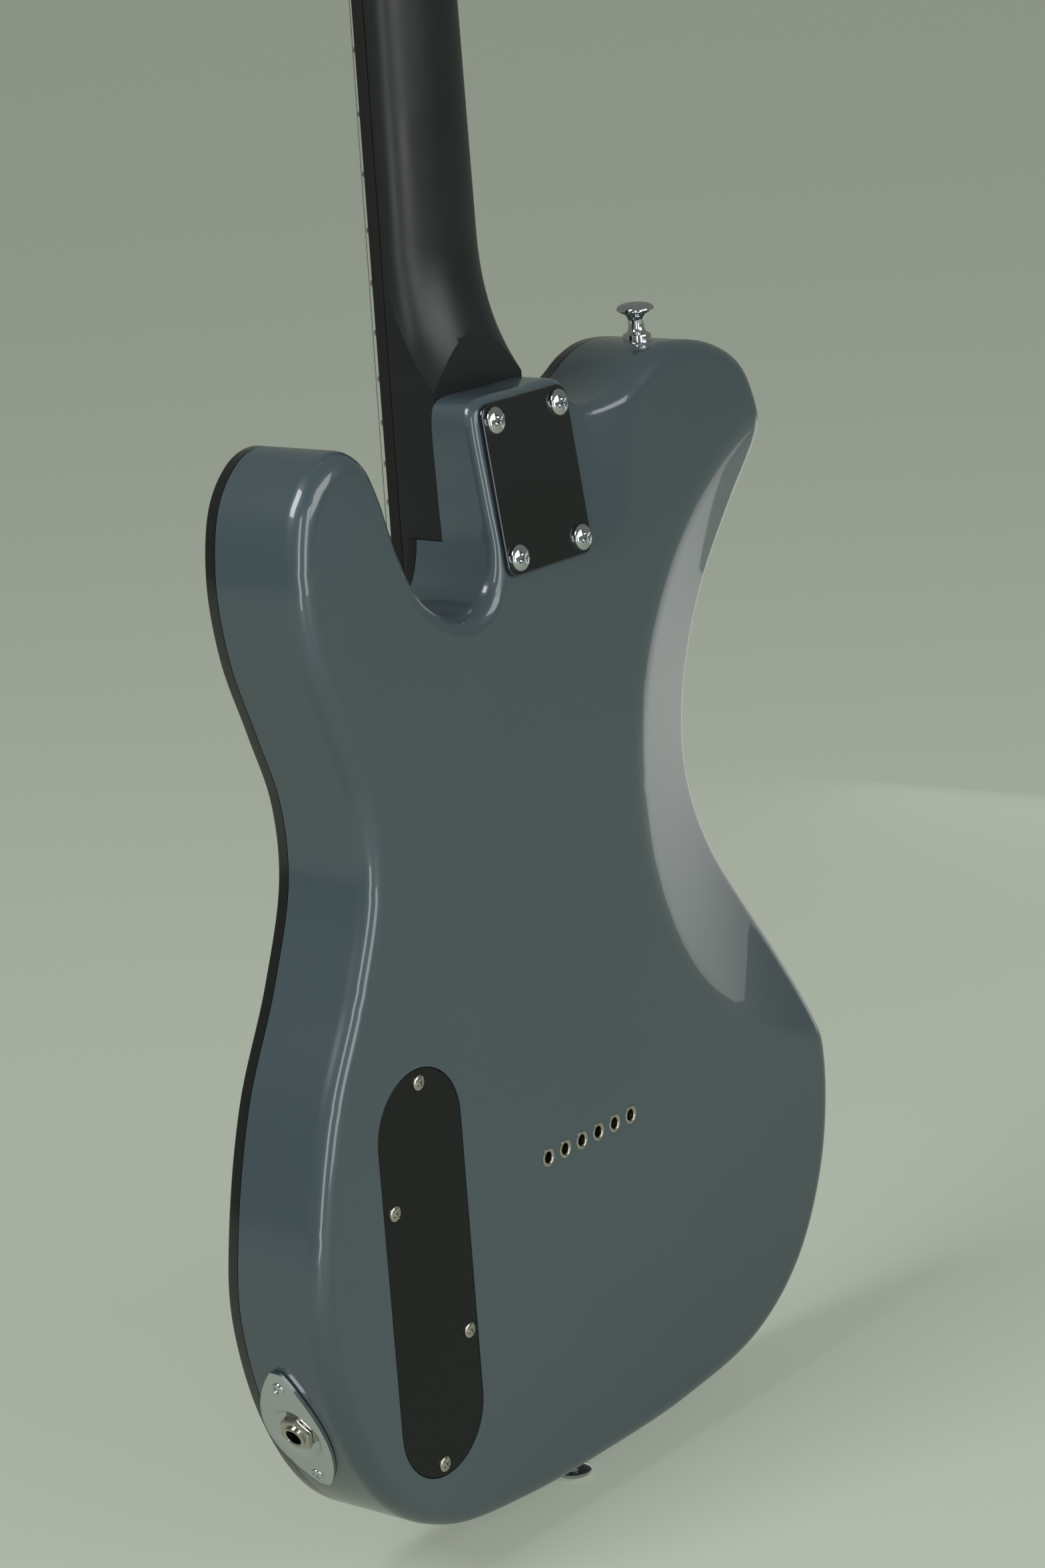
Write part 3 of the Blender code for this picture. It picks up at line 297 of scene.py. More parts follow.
def rounded(width, segments=3, angle=40):
    return ("BEVEL", {"width": width, "segments": segments, "limit_method": "ANGLE",
                      "angle_limit": math.radians(angle), "use_clamp_overlap": True})


def arc(centre, radius, start, end, steps):
    turns = [math.radians(start + (end - start) * i / steps) for i in range(steps + 1)]
    return [(centre[0] + radius * math.cos(t), centre[1] + radius * math.sin(t)) for t in turns]


def stadium(x, low, high, width, steps=24):
    r = width / 2
    return arc((x, low + r), r, 180, 360, steps) + arc((x, high - r), r, 0, 180, steps)


def rounded_rectangle(x, z, width, height, radius, steps=8):
    points = []
    for sx, sz, start in ((1, 1, 0), (-1, 1, 90), (-1, -1, 180), (1, -1, 270)):
        corner = (x + sx * (width / 2 - radius), z + sz * (height / 2 - radius))
        points += arc(corner, radius, start, start + 90, steps)
    return points


def slab(name, points, low, high):
    """An outline in X and Z with a thickness from Y = low to Y = high."""
    return loft(name, [[(x, y, z) for x, z in points] for y in (low, high)])


def along(axis):
    return Vector((0, 0, 1)).rotation_difference(Vector(axis)).to_matrix().to_4x4()


def cylinder(radius, low, high, matrix, sides=32, top_radius=None):
    """A round bar from a primitive, set along the local Z of a matrix."""
    bpy.ops.object.select_all(action="DESELECT")
    bpy.ops.mesh.primitive_cone_add(vertices=sides, radius1=radius, depth=high - low,
                                    radius2=radius if top_radius is None else top_radius,
                                    location=(0, 0, (low + high) / 2))
    made = bpy.context.object
    mesh = made.data
    mesh.transform(matrix @ made.matrix_world)
    bpy.data.objects.remove(made, do_unlink=True)
    return mesh


def turned(name, profile, matrix, steps=48):
    """A profile of (radius, height) points spun a full turn about the local Z of a matrix."""
    bpy.ops.object.select_all(action="DESELECT")
    mesh = bpy.data.meshes.new(name)
    mesh.from_pydata([(r, 0, z) for r, z in profile], [(i, i + 1) for i in range(len(profile) - 1)], [])
    made = bpy.data.objects.new(name + "_profile", mesh)
    bpy.context.scene.collection.objects.link(made)
    bpy.context.view_layer.objects.active = made
    made.select_set(True)
    bpy.ops.object.mode_set(mode="EDIT")
    bpy.ops.mesh.select_all(action="SELECT")
    bpy.ops.mesh.spin(steps=steps, angle=2 * math.pi, center=(0, 0, 0), axis=(0, 0, 1))
    bpy.ops.mesh.select_all(action="SELECT")
    bpy.ops.mesh.remove_doubles(threshold=0.000004)
    bpy.ops.mesh.normals_make_consistent(inside=False)
    bpy.ops.object.mode_set(mode="OBJECT")
    mesh.transform(matrix)
    bpy.data.objects.remove(made, do_unlink=True)
    return mesh


def joined(name, meshes):
    bm = bmesh.new()
    for mesh in meshes:
        bm.from_mesh(mesh)
    made = bpy.data.meshes.new(name)
    bm.to_mesh(made)
    bm.free()
    return made


# %% [markdown]
# The body's outline is a closed curve through a few marked points, like a thin batten bent round
# pins on a plank. A centripetal Catmull-Rom curve does that without overshooting at tight corners.

# %% Outline of the body
TREBLE_BOUT = [(-2.5, 0), (50, 1.5), (95, 8.5), (128, 28.5), (150, 63.5), (160.8, 108.5), (158, 140.5)]
TREBLE_WAIST = [(146, 185.5), (127, 224.5), (114.5, 260.5), (115, 289.5), (124, 316.5), (134.5, 346.5)]
HORN = [(137.8, 377.5), (132, 403), (119, 416), (106, 418), (96, 412), (89.5, 400.5)]
CUTAWAY = [(82, 379.5), (72, 360.5), (58, 349.5), (45, 347), (34, 352), (28.5, 365)]
HEEL = [(28.5, 385), (28.5, 415), (26.7, 419.2), (22.5, 421), (-3, 421), (-23.5, 421), (-27.7, 419.2)]
SHOULDER = [(-29.5, 415), (-33, 410.5), (-40, 409), (-50, 411), (-60, 415), (-69, 420), (-82, 423.8)]
BASS_BOUT = [(-97, 423.6), (-118, 419), (-134, 409.5), (-142.5, 394.5), (-145.3, 377.5), (-134.5, 352)]
BASS_WAIST = [(-117.5, 314.5), (-108.5, 271.5), (-110.5, 246.5), (-121.5, 218.5), (-138.5, 189)]
BASS_TAIL = [(-152, 162.5), (-162.5, 132.5), (-165.7, 104.5), (-158.5, 66.5), (-137.5, 31.5)]
TAIL = [(-105.5, 10.5), (-55, 1.7)]
OUTLINE = (TREBLE_BOUT + TREBLE_WAIST + HORN + CUTAWAY + HEEL + SHOULDER + BASS_BOUT
           + BASS_WAIST + BASS_TAIL + TAIL)
OUTLINE_STEP = 3.0 * MM


def curve_through(knots, step):
    """Points along a closed centripetal Catmull-Rom curve through knots in millimetres."""
    knots = [Vector(k) * MM for k in knots]
    count = len(knots)
    points = []
    for i in range(count):
        p = [knots[(i + j) % count] for j in (-1, 0, 1, 2)]
        t = [0.0]
        for a, b in zip(p, p[1:]):
            t.append(t[-1] + math.sqrt((b - a).length))
        steps = max(1, round((p[2] - p[1]).length / step))
        for s in range(steps):
            u = t[1] + (t[2] - t[1]) * s / steps
            a = [p[k] + (p[k + 1] - p[k]) * ((u - t[k]) / (t[k + 1] - t[k])) for k in range(3)]
            b = [a[k] + (a[k + 1] - a[k]) * ((u - t[k]) / (t[k + 2] - t[k])) for k in range(2)]
            points.append(b[0] + (b[1] - b[0]) * ((u - t[1]) / (t[2] - t[1])))
    return points


EDGE_POINTS = curve_through(OUTLINE, OUTLINE_STEP)
print(len(EDGE_POINTS), "points round the body")

# %% [markdown]
# The back is flat but for two places that a carver takes down: a wide sloping cut where the body
# meets the player's ribs, and a wedge under the neck plate. One function gives the depth of both.

# %% Relief of the back
BELLY_CENTRE = (-183.0 * MM, 257.5 * MM)
BELLY_RADIUS = 135.0 * MM
BELLY_SLOPE = 0.36
BELLY_BLEND = 4.0 * MM
EDGE_RADIUS = 8.0 * MM
HEEL_EDGE_RADIUS = 4.5 * MM


def smooth(value):
    value = min(max(value, 0.0), 1.0)
    return value * value * (3 - 2 * value)


def eased(depth, blend):
    """The larger of zero and depth, with a soft start."""
    if depth < -blend:
        return 0.0
    return depth if depth > blend else (depth + blend) ** 2 / (4 * blend)


def edge_radius(x, z):
    reach = max(abs(x) - 40 * MM, 372 * MM - z, 0.0)
    return HEEL_EDGE_RADIUS + (EDGE_RADIUS - HEEL_EDGE_RADIUS) * smooth(reach / (30 * MM))


def relief(x, z):
    inside = BELLY_RADIUS - math.hypot(x - BELLY_CENTRE[0], z - BELLY_CENTRE[1])
    belly = BELLY_SLOPE * eased(inside, BELLY_BLEND)
    share = smooth((x + 60 * MM) / (30 * MM)) * smooth((46 * MM - x) / (14 * MM))
    return max(belly, share * math.tan(TAPER_ANGLE) * eased(z - TAPER_START, 2 * MM))


def inset_ring(points, amounts, y):
    count = len(points)
    ring = []
    for i, p in enumerate(points):
        tangent = (points[(i + 1) % count] - points[i - 1]).normalized()
        moved = p + Vector((-tangent.y, tangent.x)) * amounts[i]
        ring.append((moved.x, y[i], moved.y))
    return ring


# %% [markdown]
# The body is a loft: rings of the outline run from the face, past the step that holds the edge
# band, down the side and round the back edge. The back is then cut into a grid, so that it can
# sink smoothly, and the pockets are cut with Booleans, as a router would.

# %% Body blank
BAND_HEIGHT = 5.0 * MM
BAND_DEPTH = 2.0 * MM
ROUND_SEGMENTS = 12


def body_blank():
    points = EDGE_POINTS
    count = len(points)
    radii = [edge_radius(p.x, p.y) for p in points]
    rebate, ledge = BAND_DEPTH + GAP, -THICKNESS + BAND_HEIGHT + GAP
    rings = [inset_ring(points, [rebate] * count, [-THICKNESS] * count),
             inset_ring(points, [rebate] * count, [ledge] * count),
             inset_ring(points, [0.0] * count, [ledge] * count)]
    for s in range(ROUND_SEGMENTS + 1):
        turn = math.radians(90 * s / ROUND_SEGMENTS)
        rings.append(inset_ring(points, [r * (1 - math.cos(turn)) for r in radii],
                                [-r * (1 - math.sin(turn)) for r in radii]))
    bm = bmesh.new()
    bm.from_mesh(loft("blank", rings))
    cuts = [((x * MM, 0, 0), (1, 0, 0)) for x in range(-160, 51, 5)]
    cuts += [((0, 0, z * MM), (0, 0, 1)) for z in range(118, 422, 5)]
    for place, normal in cuts:
        back = [f for f in bm.faces if all(v.co.y > -1e-6 for v in f.verts)]
        parts = set(back) | {e for f in back for e in f.edges} | {v for f in back for v in f.verts}
        bmesh.ops.bisect_plane(bm, geom=list(parts), dist=1e-6, plane_co=place, plane_no=normal)
    for vert in bm.verts:
        if vert.co.y > -EDGE_RADIUS - 1e-5:
            vert.co.y -= relief(vert.co.x, vert.co.z)
    bent = [f for f in bm.faces if any(v.co.y > -0.8 * THICKNESS for v in f.verts)]
    bmesh.ops.triangulate(bm, faces=bent)
    return to_mesh("body_blank", bm)


# %% Lines that the pockets share


def string_x(number, z):
    """The middle of string 1, the thinnest, to 6 at height z."""
    return (3.5 - number) * (NUT_PITCH + (BRIDGE_PITCH - NUT_PITCH) * (NUT_LINE - z) / SCALE_LENGTH)


def half_width(z):
    return string_x(1, z) + 3.5 * MM


BEHIND = along((0, 1, 0))
IN_FRONT = along((0, -1, 0))
PLATE_FRAME = (Matrix.Translation((0, -math.tan(TAPER_ANGLE) * (PLATE_CENTRE - TAPER_START), PLATE_CENTRE))
               @ Matrix.Rotation(TAPER_ANGLE, 4, "X"))
JACK_FRAME = Matrix.Translation(JACK) @ Matrix.Rotation(JACK_TURN, 4, "Y")
PICKUPS = {"bridge_pickup": (SADDLE_LINE + 40 * MM, -53.0 * MM),
           "neck_pickup": (FRETBOARD_END - 25 * MM, -50.5 * MM)}
PICKUP_SIZE = (70.0 * MM, 38.5 * MM)
CONTROLS = {"volume_knob": 118.0 * MM, "tone_knob": 70.0 * MM, "selector_lever": 170.0 * MM}

# %% Body and its pockets
pocket = [(-half_width(NECK_END) - GAP, NECK_END - GAP), (half_width(NECK_END) + GAP, NECK_END - GAP),
          (half_width(368.5 * MM) + GAP, 368.5 * MM), (40 * MM, 368.5 * MM), (40 * MM, 431 * MM),
          (-half_width(431 * MM) - GAP, 431 * MM)]
routs = [slab("rout", rounded_rectangle(0, z, PICKUP_SIZE[0] + 2 * MM, PICKUP_SIZE[1] + 2 * MM, 4 * MM),
              -60 * MM, -24 * MM) for z, _ in PICKUPS.values()]
COVER_WIDTH = 47.0 * MM
recess = slab("recess", stadium(COVER_X, COVER_Z[0] - GAP, COVER_Z[1] + GAP, COVER_WIDTH + 2 * GAP),
              -4 * MM, 5 * MM)
jack_bore = cylinder(10.5 * MM, -38 * MM, 10 * MM, JACK_FRAME @ along((1, 0, 0)))
drills = [cylinder(3.8 * MM, -9.3 * MM, 5 * MM,
                   Matrix.Translation((string_x(n, SADDLE_LINE), 0, FERRULE_LINE)) @ BEHIND) for n in STRINGS]
body_mesh = modified("body_surface", body_blank(), cut(
    slab("pocket", pocket, -60 * MM, HEEL_BACK + GAP), joined("routs", routs), recess, jack_bore,
    joined("drills", drills)))
body = stand_for(place_object("body_surface", body_mesh, LACQUER, 30), "body")
print("body", len(body_mesh.polygons), "faces")

# %% [markdown]
# The band is a ring of black plastic let into the front edge. Its outer front corner is eased by
# the buffing wheel, which three short steps draw.

# %% Edge band
band_section = [(0.0, BAND_HEIGHT), (0.0, 1.2 * MM), (0.35 * MM, 0.35 * MM), (1.2 * MM, 0.0),
                (BAND_DEPTH, 0.0), (BAND_DEPTH, BAND_HEIGHT)]
count = len(EDGE_POINTS)
band_rings = [inset_ring(EDGE_POINTS, [inset] * count, [-THICKNESS + rise] * count)
              for inset, rise in band_section]
band_mesh = modified("edge_band", loft("edge_band", band_rings, closed=True),
                     cut(slab("pocket", pocket, -60 * MM, HEEL_BACK + GAP)))
stand_for(place_object("edge_band", band_mesh, BAND), "body_binding")

# %% [markdown]
# The neck is a square blank with its back carved round. Near the heel the round swells until it
# clears the blank, and where the two surfaces cross they leave the pointed crease that shows in
# every bolt-on neck. An intersection of the two shapes draws that crease by itself.

# %% Neck
SCOOP_END = 477.0 * MM


def neck_blank():
    sections = []
    for z in (NECK_END, NUT_LINE + 6 * MM):
        w = half_width(z)
        sections.append([(w, GLUE_LINE + GAP, z), (w, HEEL_BACK, z), (-w, HEEL_BACK, z),
                         (-w, GLUE_LINE + GAP, z)])
    return loft("neck_blank", sections)


def neck_carve():
    heights = [NECK_END - MM, HEEL_TOP - 0.2 * MM, HEEL_TOP + 1.5 * MM]
    heights += [HEEL_TOP + 1.5 * MM + (SCOOP_END - HEEL_TOP) * i / 36 for i in range(1, 37)]
    heights += [520 * MM, 640 * MM, 740 * MM, NUT_LINE + 7 * MM]
    sections = []
    for z in heights:
        share = min(max((SCOOP_END - z) / (SCOOP_END - HEEL_TOP), 0.0), 1.0)
        wide = half_width(z) - 0.2 * MM + 12 * MM * share ** 3
        deep = 14 * MM + 16 * MM * share ** 2
        ring = [(wide * c, GLUE_LINE + deep * s, z) for c, s in arc((0, 0), 1.0, 0, 180, 64)]
        sections.append([(wide, -60 * MM, z)] + ring + [(-wide, -60 * MM, z)])
    return loft("neck_carve", sections)


def headstock():
    n = NUT_LINE / MM
    paddle = [(-14, -12), (-18, -3), (-22, 5), (-29, 15), (-34, 28), (-35.2, 40), (-20, 95), (-2, 160),
              (3, 174), (12, 183), (22, 184), (29, 177), (31, 163), (29, 120), (27, 70), (25, 30),
              (22, 6), (18, -3), (14, -12)]
    flat = slab("paddle", curve_through([(x, n + z) for x, z in paddle], 2.5 * MM), -70 * MM, -10 * MM)
    side = [(-46.9, -14), (-46.9, 5), (-45.3, 11), (-44.3, 18), (-44, 26), (-44, 195),
            (-30, 195), (-30, 40), (-30.6, 24), (-32.2, 8), (-33.4, -14)]
    profile = loft("side", [[(x * MM, y * MM, (n + z) * MM) for y, z in side] for x in (-60, 60)])
    return modified("headstock", flat, [("BOOLEAN", {"operation": "INTERSECT", "solver": "EXACT",
                                                     "object": profile}), rounded(1.2 * MM, 3, 50)])


def post_place(number):
    z = NUT_LINE + 35 * MM + (6 - number) * 25.2 * MM
    return string_x(number, z) - 3.0 * MM - GAP - STRING_RADII[number - 1], z


post_holes = [cylinder(4.8 * MM, -60 * MM, 60 * MM,
                       Matrix.Translation((post_place(n)[0], -40 * MM, post_place(n)[1])) @ BEHIND)
              for n in STRINGS]
neck_mesh = modified("neck_surface", neck_blank(), [
    ("BOOLEAN", {"operation": "INTERSECT", "solver": "EXACT", "object": neck_carve()}),
    ("BOOLEAN", {"operation": "UNION", "solver": "EXACT", "object": headstock()})]
    + cut(joined("post_holes", post_holes)))
stand_for(place_object("neck_surface", neck_mesh, SATIN, 24), "neck")
print("neck", len(neck_mesh.polygons), "faces")

# %% [markdown]
# The fretboard is a shallow arch, and each fret is a crowned wire pressed across it. From behind,
# only the board's edge shows, with the ends of the frets as a row of small bumps.

# %% Fretboard and frets
FRETBOARD_RADIUS = 355.0 * MM
FRETS = range(1, 23)
FRET_INSET = 0.4 * MM


def across(w, y, z, steps=16):
    points = []
    for i in range(steps + 1):
        x = w * (1 - 2 * i / steps)
        points.append((x, y + FRETBOARD_RADIUS - math.sqrt(FRETBOARD_RADIUS ** 2 - x ** 2), z))
    return points


def fret_line(number):
    return NUT_LINE - SCALE_LENGTH * (1 - 2 ** (-number / 12))


board_sections = []
for z in (FRETBOARD_END, NUT_LINE - GAP):
    w = half_width(z)
    board_sections.append(across(w, BOARD_TOP, z) + [(-w, GLUE_LINE, z), (w, GLUE_LINE, z)])
board_mesh = modified("board_surface", loft("board", board_sections), [rounded(0.4 * MM, 2, 60)])
stand_for(place_object("board_surface", board_mesh, BOARD), "fretboard")
fret_meshes = []
for number in FRETS:
    z = fret_line(number)
    w = half_width(z) - FRET_INSET
    wire = []
    for turn in range(0, 181, 20):
        reach, rise = 1.2 * MM * math.cos(math.radians(turn)), 1.1 * MM * math.sin(math.radians(turn))
        upper = across(w, BOARD_TOP - rise, z + reach)
        lower = [(x, y + rise + 1.0 * MM, h) for x, y, h in reversed(upper)]
        wire.append(upper + lower)
    fret_meshes.append(loft("fret", wire))
frets = modified("fret_wires", joined("fret_wires", fret_meshes), [rounded(0.3 * MM, 2, 50)])
stand_for(place_object("fret_wires", frets, STEEL), "fretboard", replaces=False)

# %% [markdown]
# A cross-head screw is turned first, and then its slot is punched: two thin crossed wedges are
# cut out of the dome.

# %% Screw heads
def cross_head(name, radius, height, matrix, slot=0.62):
    """A domed screw head with a cross slot, standing on the local XY plane."""
    profile = [(0.0, height)]
    for step in range(1, 9):
        turn = math.radians(10 + 10 * step)
        profile.append((radius * math.sin(turn), height * (0.25 + 0.75 * math.cos(turn))))
    profile += [(radius, 0.0), (0.0, 0.0)]
    head = turned(name, profile, Matrix.Identity(4), 40)
    blades = []
    for turn in (30, 120):
        bpy.ops.object.select_all(action="DESELECT")
        bpy.ops.mesh.primitive_cube_add(size=1.0, location=(0, 0, height))
        blade = bpy.context.object
        blade.data.transform(Matrix.Translation((0, 0, height * 0.85))
                             @ Matrix.Rotation(math.radians(turn), 4, "Z")
                             @ Matrix.Diagonal((2 * radius * slot, radius * 0.2, height * 1.1, 1.0)))
        blades.append(blade.data)
        bpy.data.objects.remove(blade, do_unlink=True)
    made = modified(name, head, cut(*blades))
    made.transform(matrix)
    return made


# %% [markdown]
# The neck plate is a dark chromed rectangle with rounded corners and a rolled edge, held by four
# domed screws.

# %% Neck plate and screws
plate_outline = rounded_rectangle(0, 0, 51 * MM, 64 * MM, 5 * MM)
plate_mesh = modified("neck_plate_surface", slab("plate", plate_outline, GAP, 1.9 * MM),
                      [rounded(0.9 * MM, 4, 60)])
plate_mesh.transform(PLATE_FRAME)
stand_for(place_object("neck_plate_surface", plate_mesh, DARK_CHROME, 50), "neck_plate")
PLATE_SCREWS = [(19.05, 25.4), (-19.05, 25.4), (19.05, -25.4), (-19.05, -25.4)]
for number, (x, z) in enumerate(PLATE_SCREWS, 1):
    seat = PLATE_FRAME @ Matrix.Translation((x * MM, 1.95 * MM, z * MM)) @ BEHIND
    head = cross_head(f"neck_screw_head_{number}", 5.0 * MM, 2.7 * MM, seat)
    stand_for(place_object(f"neck_screw_head_{number}", head, CHROME), f"neck_screw_{number}")

# %% [markdown]
# The control cover is a long plate with round ends, let in flush and held by four small screws.

# %% Rear cover
COVER_SCREWS = [(98.2, 185.3), (117.1, 141.3), (80.8, 82.8), (101.1, 37.1)]
cover_outline = stadium(COVER_X, *COVER_Z, COVER_WIDTH)
cover_mesh = modified("cover_surface", slab("cover", cover_outline, -2.1 * MM, -0.1 * MM),
                      [rounded(0.35 * MM, 3, 60)])
stand_for(place_object("cover_surface", cover_mesh, COVER), "rear_cover")
for number, (x, z) in enumerate(COVER_SCREWS, 1):
    seat = Matrix.Translation((x * MM, -0.1 * MM, z * MM)) @ BEHIND
    head = cross_head(f"cover_screw_{number}", 3.0 * MM, 1.3 * MM, seat)
    stand_for(place_object(f"cover_screw_{number}", head, NICKEL), "rear_cover", replaces=False)

# %% [markdown]
# Each string passes through the body in a small nickel cup. Its rounded lip catches the light and
# its bore is dark.

# %% Ferrules
CUP = [(2.1, -0.6), (2.25, -0.15), (2.7, 0.2), (3.25, 0.2), (3.65, 0.0), (3.7, -0.3), (3.5, -0.6),
       (3.5, -9.0), (1.2, -9.0), (1.2, -7.5), (2.1, -7.5), (2.1, -0.6)]
for n in STRINGS:
    seat = Matrix.Translation((string_x(n, SADDLE_LINE), 0, FERRULE_LINE)) @ BEHIND
    cup = turned(f"ferrule_cup_{n}", [(r * MM, z * MM) for r, z in CUP], seat, 36)
    stand_for(place_object(f"ferrule_cup_{n}", cup, NICKEL, 50), f"string_ferrule_{n}")

# %% [markdown]
# A strap button is turned from brass and chromed: a dished flange, a narrow waist for the strap's
# leather, and a wide foot on the lacquer.

# %% Strap buttons
BUTTON = [(0, 13.6), (2.2, 13.7), (3.0, 14.0), (5.0, 13.8), (6.6, 13.1), (7.25, 12.1), (7.2, 11.5),
          (6.4, 10.8), (4.6, 10.0), (3.5, 9.0), (3.1, 7.5), (3.0, 5.5), (3.2, 3.9), (4.0, 2.7),
          (5.3, 2.1), (5.5, 1.5), (5.5, 0.3), (0, 0.3)]
BUTTONS = {"strap_button_upper": ((-93.0, -22.25, 423.9), (0, 0, 1)),
           "strap_button_lower": ((-2.5, -22.25, 0.0), (0, 0, -1))}
for node, (place, axis) in BUTTONS.items():
    seat = Matrix.Translation(Vector(place) * MM) @ along(axis)
    button = turned(node + "_turning", [(r * MM, z * MM) for r, z in BUTTON], seat, 48)
    stand_for(place_object(node + "_turning", button, CHROME, 40), node)

# %% [markdown]
# The jack sits in a pressed plate shaped like an eye. It bends with the wall, and its middle is
# dished so that the nut lies below the rim.

# %% Jack plate
PLATE_HALF = (28.0 * MM, 14.5 * MM)
DISH_RADIUS = 12.0 * MM
DISH_DEPTH = 1.9 * MM


def jack_plate():
    columns, rows = 72, 28
    bend = WALL_RADIUS + GAP
    bm = bmesh.new()
    layers = []
    for lift in (0.0, 1.5 * MM):
        grid = []
        for i in range(columns + 1):
            u = 2 * i / columns - 1
            along_plate = PLATE_HALF[0] * u
            half = PLATE_HALF[1] * math.cos(math.pi / 2 * 0.94 * u) ** 0.8
            column = []
            for j in range(rows + 1):
                v = 2 * j / rows - 1
                crown = 0.35 * MM * (1 - max(abs(v), abs(u)) ** 6) if lift else 0.0
                centre = math.hypot(along_plate, half * v)
                dish = DISH_DEPTH * smooth((DISH_RADIUS - centre) / (3.0 * MM))
                reach = bend + lift + crown - dish
                turn = along_plate / bend
                place = (reach * math.cos(turn) - WALL_RADIUS, half * v, reach * math.sin(turn))
                column.append(bm.verts.new(place))
            grid.append(column)
        layers.append(grid)
    low, high = layers
    for i in range(columns):
        for j in range(rows):
            bm.faces.new((low[i][j], low[i][j + 1], low[i + 1][j + 1], low[i + 1][j]))
            bm.faces.new((high[i][j], high[i + 1][j], high[i + 1][j + 1], high[i][j + 1]))
        for j in (0, rows):
            bm.faces.new((low[i][j], low[i + 1][j], high[i + 1][j], high[i][j]))
    for i in (0, columns):
        for j in range(rows):
            bm.faces.new((low[i][j], high[i][j], high[i][j + 1], low[i][j + 1]))
    return to_mesh("jack_plate_surface", bm)


OUT_OF_WALL = along((1, 0, 0))
jack_hole = cylinder(5.0 * MM, -10 * MM, 10 * MM, OUT_OF_WALL)
plate_mesh = modified("jack_plate_surface", jack_plate(), cut(jack_hole))
plate_mesh.transform(JACK_FRAME)
stand_for(place_object("jack_plate_surface", plate_mesh, CHROME, 45), "jack_plate")
SOCKET = [(3.3, 3.3), (3.6, 3.7), (4.3, 3.7), (4.6, 3.4), (4.6, 0.3), (6.4, 0.3), (6.4, 0.0), (4.6, 0.0),
          (4.6, -2.5), (9.0, -2.5), (9.0, -22), (3.3, -22), (3.3, 3.3)]
socket = turned("jack_socket", [(r * MM, z * MM) for r, z in SOCKET], JACK_FRAME @ OUT_OF_WALL, 48)
stand_for(place_object("jack_socket", socket, NICKEL), "output_jack")
hex_nut = cylinder(7.4 * MM, 0.4 * MM, 2.6 * MM, Matrix.Rotation(math.radians(12), 4, "Z"), 6)
hex_nut = modified("jack_hex_nut", hex_nut, [rounded(0.3 * MM, 2, 30)] + cut(
    cylinder(4.62 * MM, -MM, 6 * MM, Matrix.Identity(4), 40)))
hex_nut.transform(JACK_FRAME @ OUT_OF_WALL)
stand_for(place_object("jack_hex_nut", hex_nut, NICKEL), "output_jack", replaces=False)
for number, side in enumerate((1, -1), 1):
    turn = side * 21.3 * MM / WALL_RADIUS
    reach = WALL_RADIUS + 2.0 * MM
    seat = (Matrix.Translation((reach * math.cos(turn) - WALL_RADIUS, 0, reach * math.sin(turn)))
            @ Matrix.Rotation(-turn, 4, "Y") @ OUT_OF_WALL)
    head = cross_head(f"jack_screw_{number}", 2.7 * MM, 1.1 * MM, JACK_FRAME @ seat)
    stand_for(place_object(f"jack_screw_{number}", head, CHROME), "jack_plate", replaces=False)

# %% [markdown]
# A string is a curve with a round bevel. It repeats the route of its solid: out of the cup, over
# the saddle and the nut, and one and a half times round its post.

# %% Strings
STRING_Y_SADDLE = -58.0 * MM
STRING_Y_NUT = -55.2 * MM
WRAP_Y = -50.6 * MM
TURNS, WRAP_STEPS = 1.5, 54


def string_path(number):
    radius = STRING_RADII[number - 1]
    x = string_x(number, SADDLE_LINE)
    post_x, post_z = post_place(number)
    path = [(x, -5.5 * MM, FERRULE_LINE), (x, -46 * MM, FERRULE_LINE),
            (x, -48.5 * MM, FERRULE_LINE + 0.6 * MM),
            (x, STRING_Y_SADDLE + 1.2 * MM, FERRULE_LINE + 5.6 * MM),
            (x, STRING_Y_SADDLE, FERRULE_LINE + 7.2 * MM),
            (string_x(number, NUT_LINE), STRING_Y_NUT, NUT_LINE),
            (string_x(number, NUT_LINE + 5 * MM), STRING_Y_NUT + 0.1 * MM, NUT_LINE + 5 * MM)]
    wrap = 3.0 * MM + GAP + radius
    drop = (2 * radius + 0.25 * MM) * TURNS
    for s in range(WRAP_STEPS + 1):
        turn = 2 * math.pi * TURNS * s / WRAP_STEPS
        path.append((post_x + wrap * math.cos(turn), WRAP_Y + drop * s / WRAP_STEPS,
                     post_z + wrap * math.sin(turn)))
    return path


for n in STRINGS:
    curve = bpy.data.curves.new(f"string_wire_{n}", "CURVE")
    curve.dimensions = "3D"
    curve.bevel_depth = STRING_RADII[n - 1]
    curve.bevel_resolution = 3
    curve.use_fill_caps = True
    spline = curve.splines.new("POLY")
    path = string_path(n)
    spline.points.add(len(path) - 1)
    for point, place in zip(spline.points, path):
        point.co = (*place, 1)
    wire = bpy.data.objects.new(f"string_wire_{n}", curve)
    bpy.context.scene.collection.objects.link(wire)
    curve.materials.append(WOUND if n > 3 else STEEL)
    stand_for(wire, f"string_{n}")

# %% [markdown]
# The rest of the fittings have their right shapes already, as plain facets. Each one is copied,
# its facets are welded and shaded round, and its edges are eased as a polisher leaves them.

# %% Eased copies of the other fittings


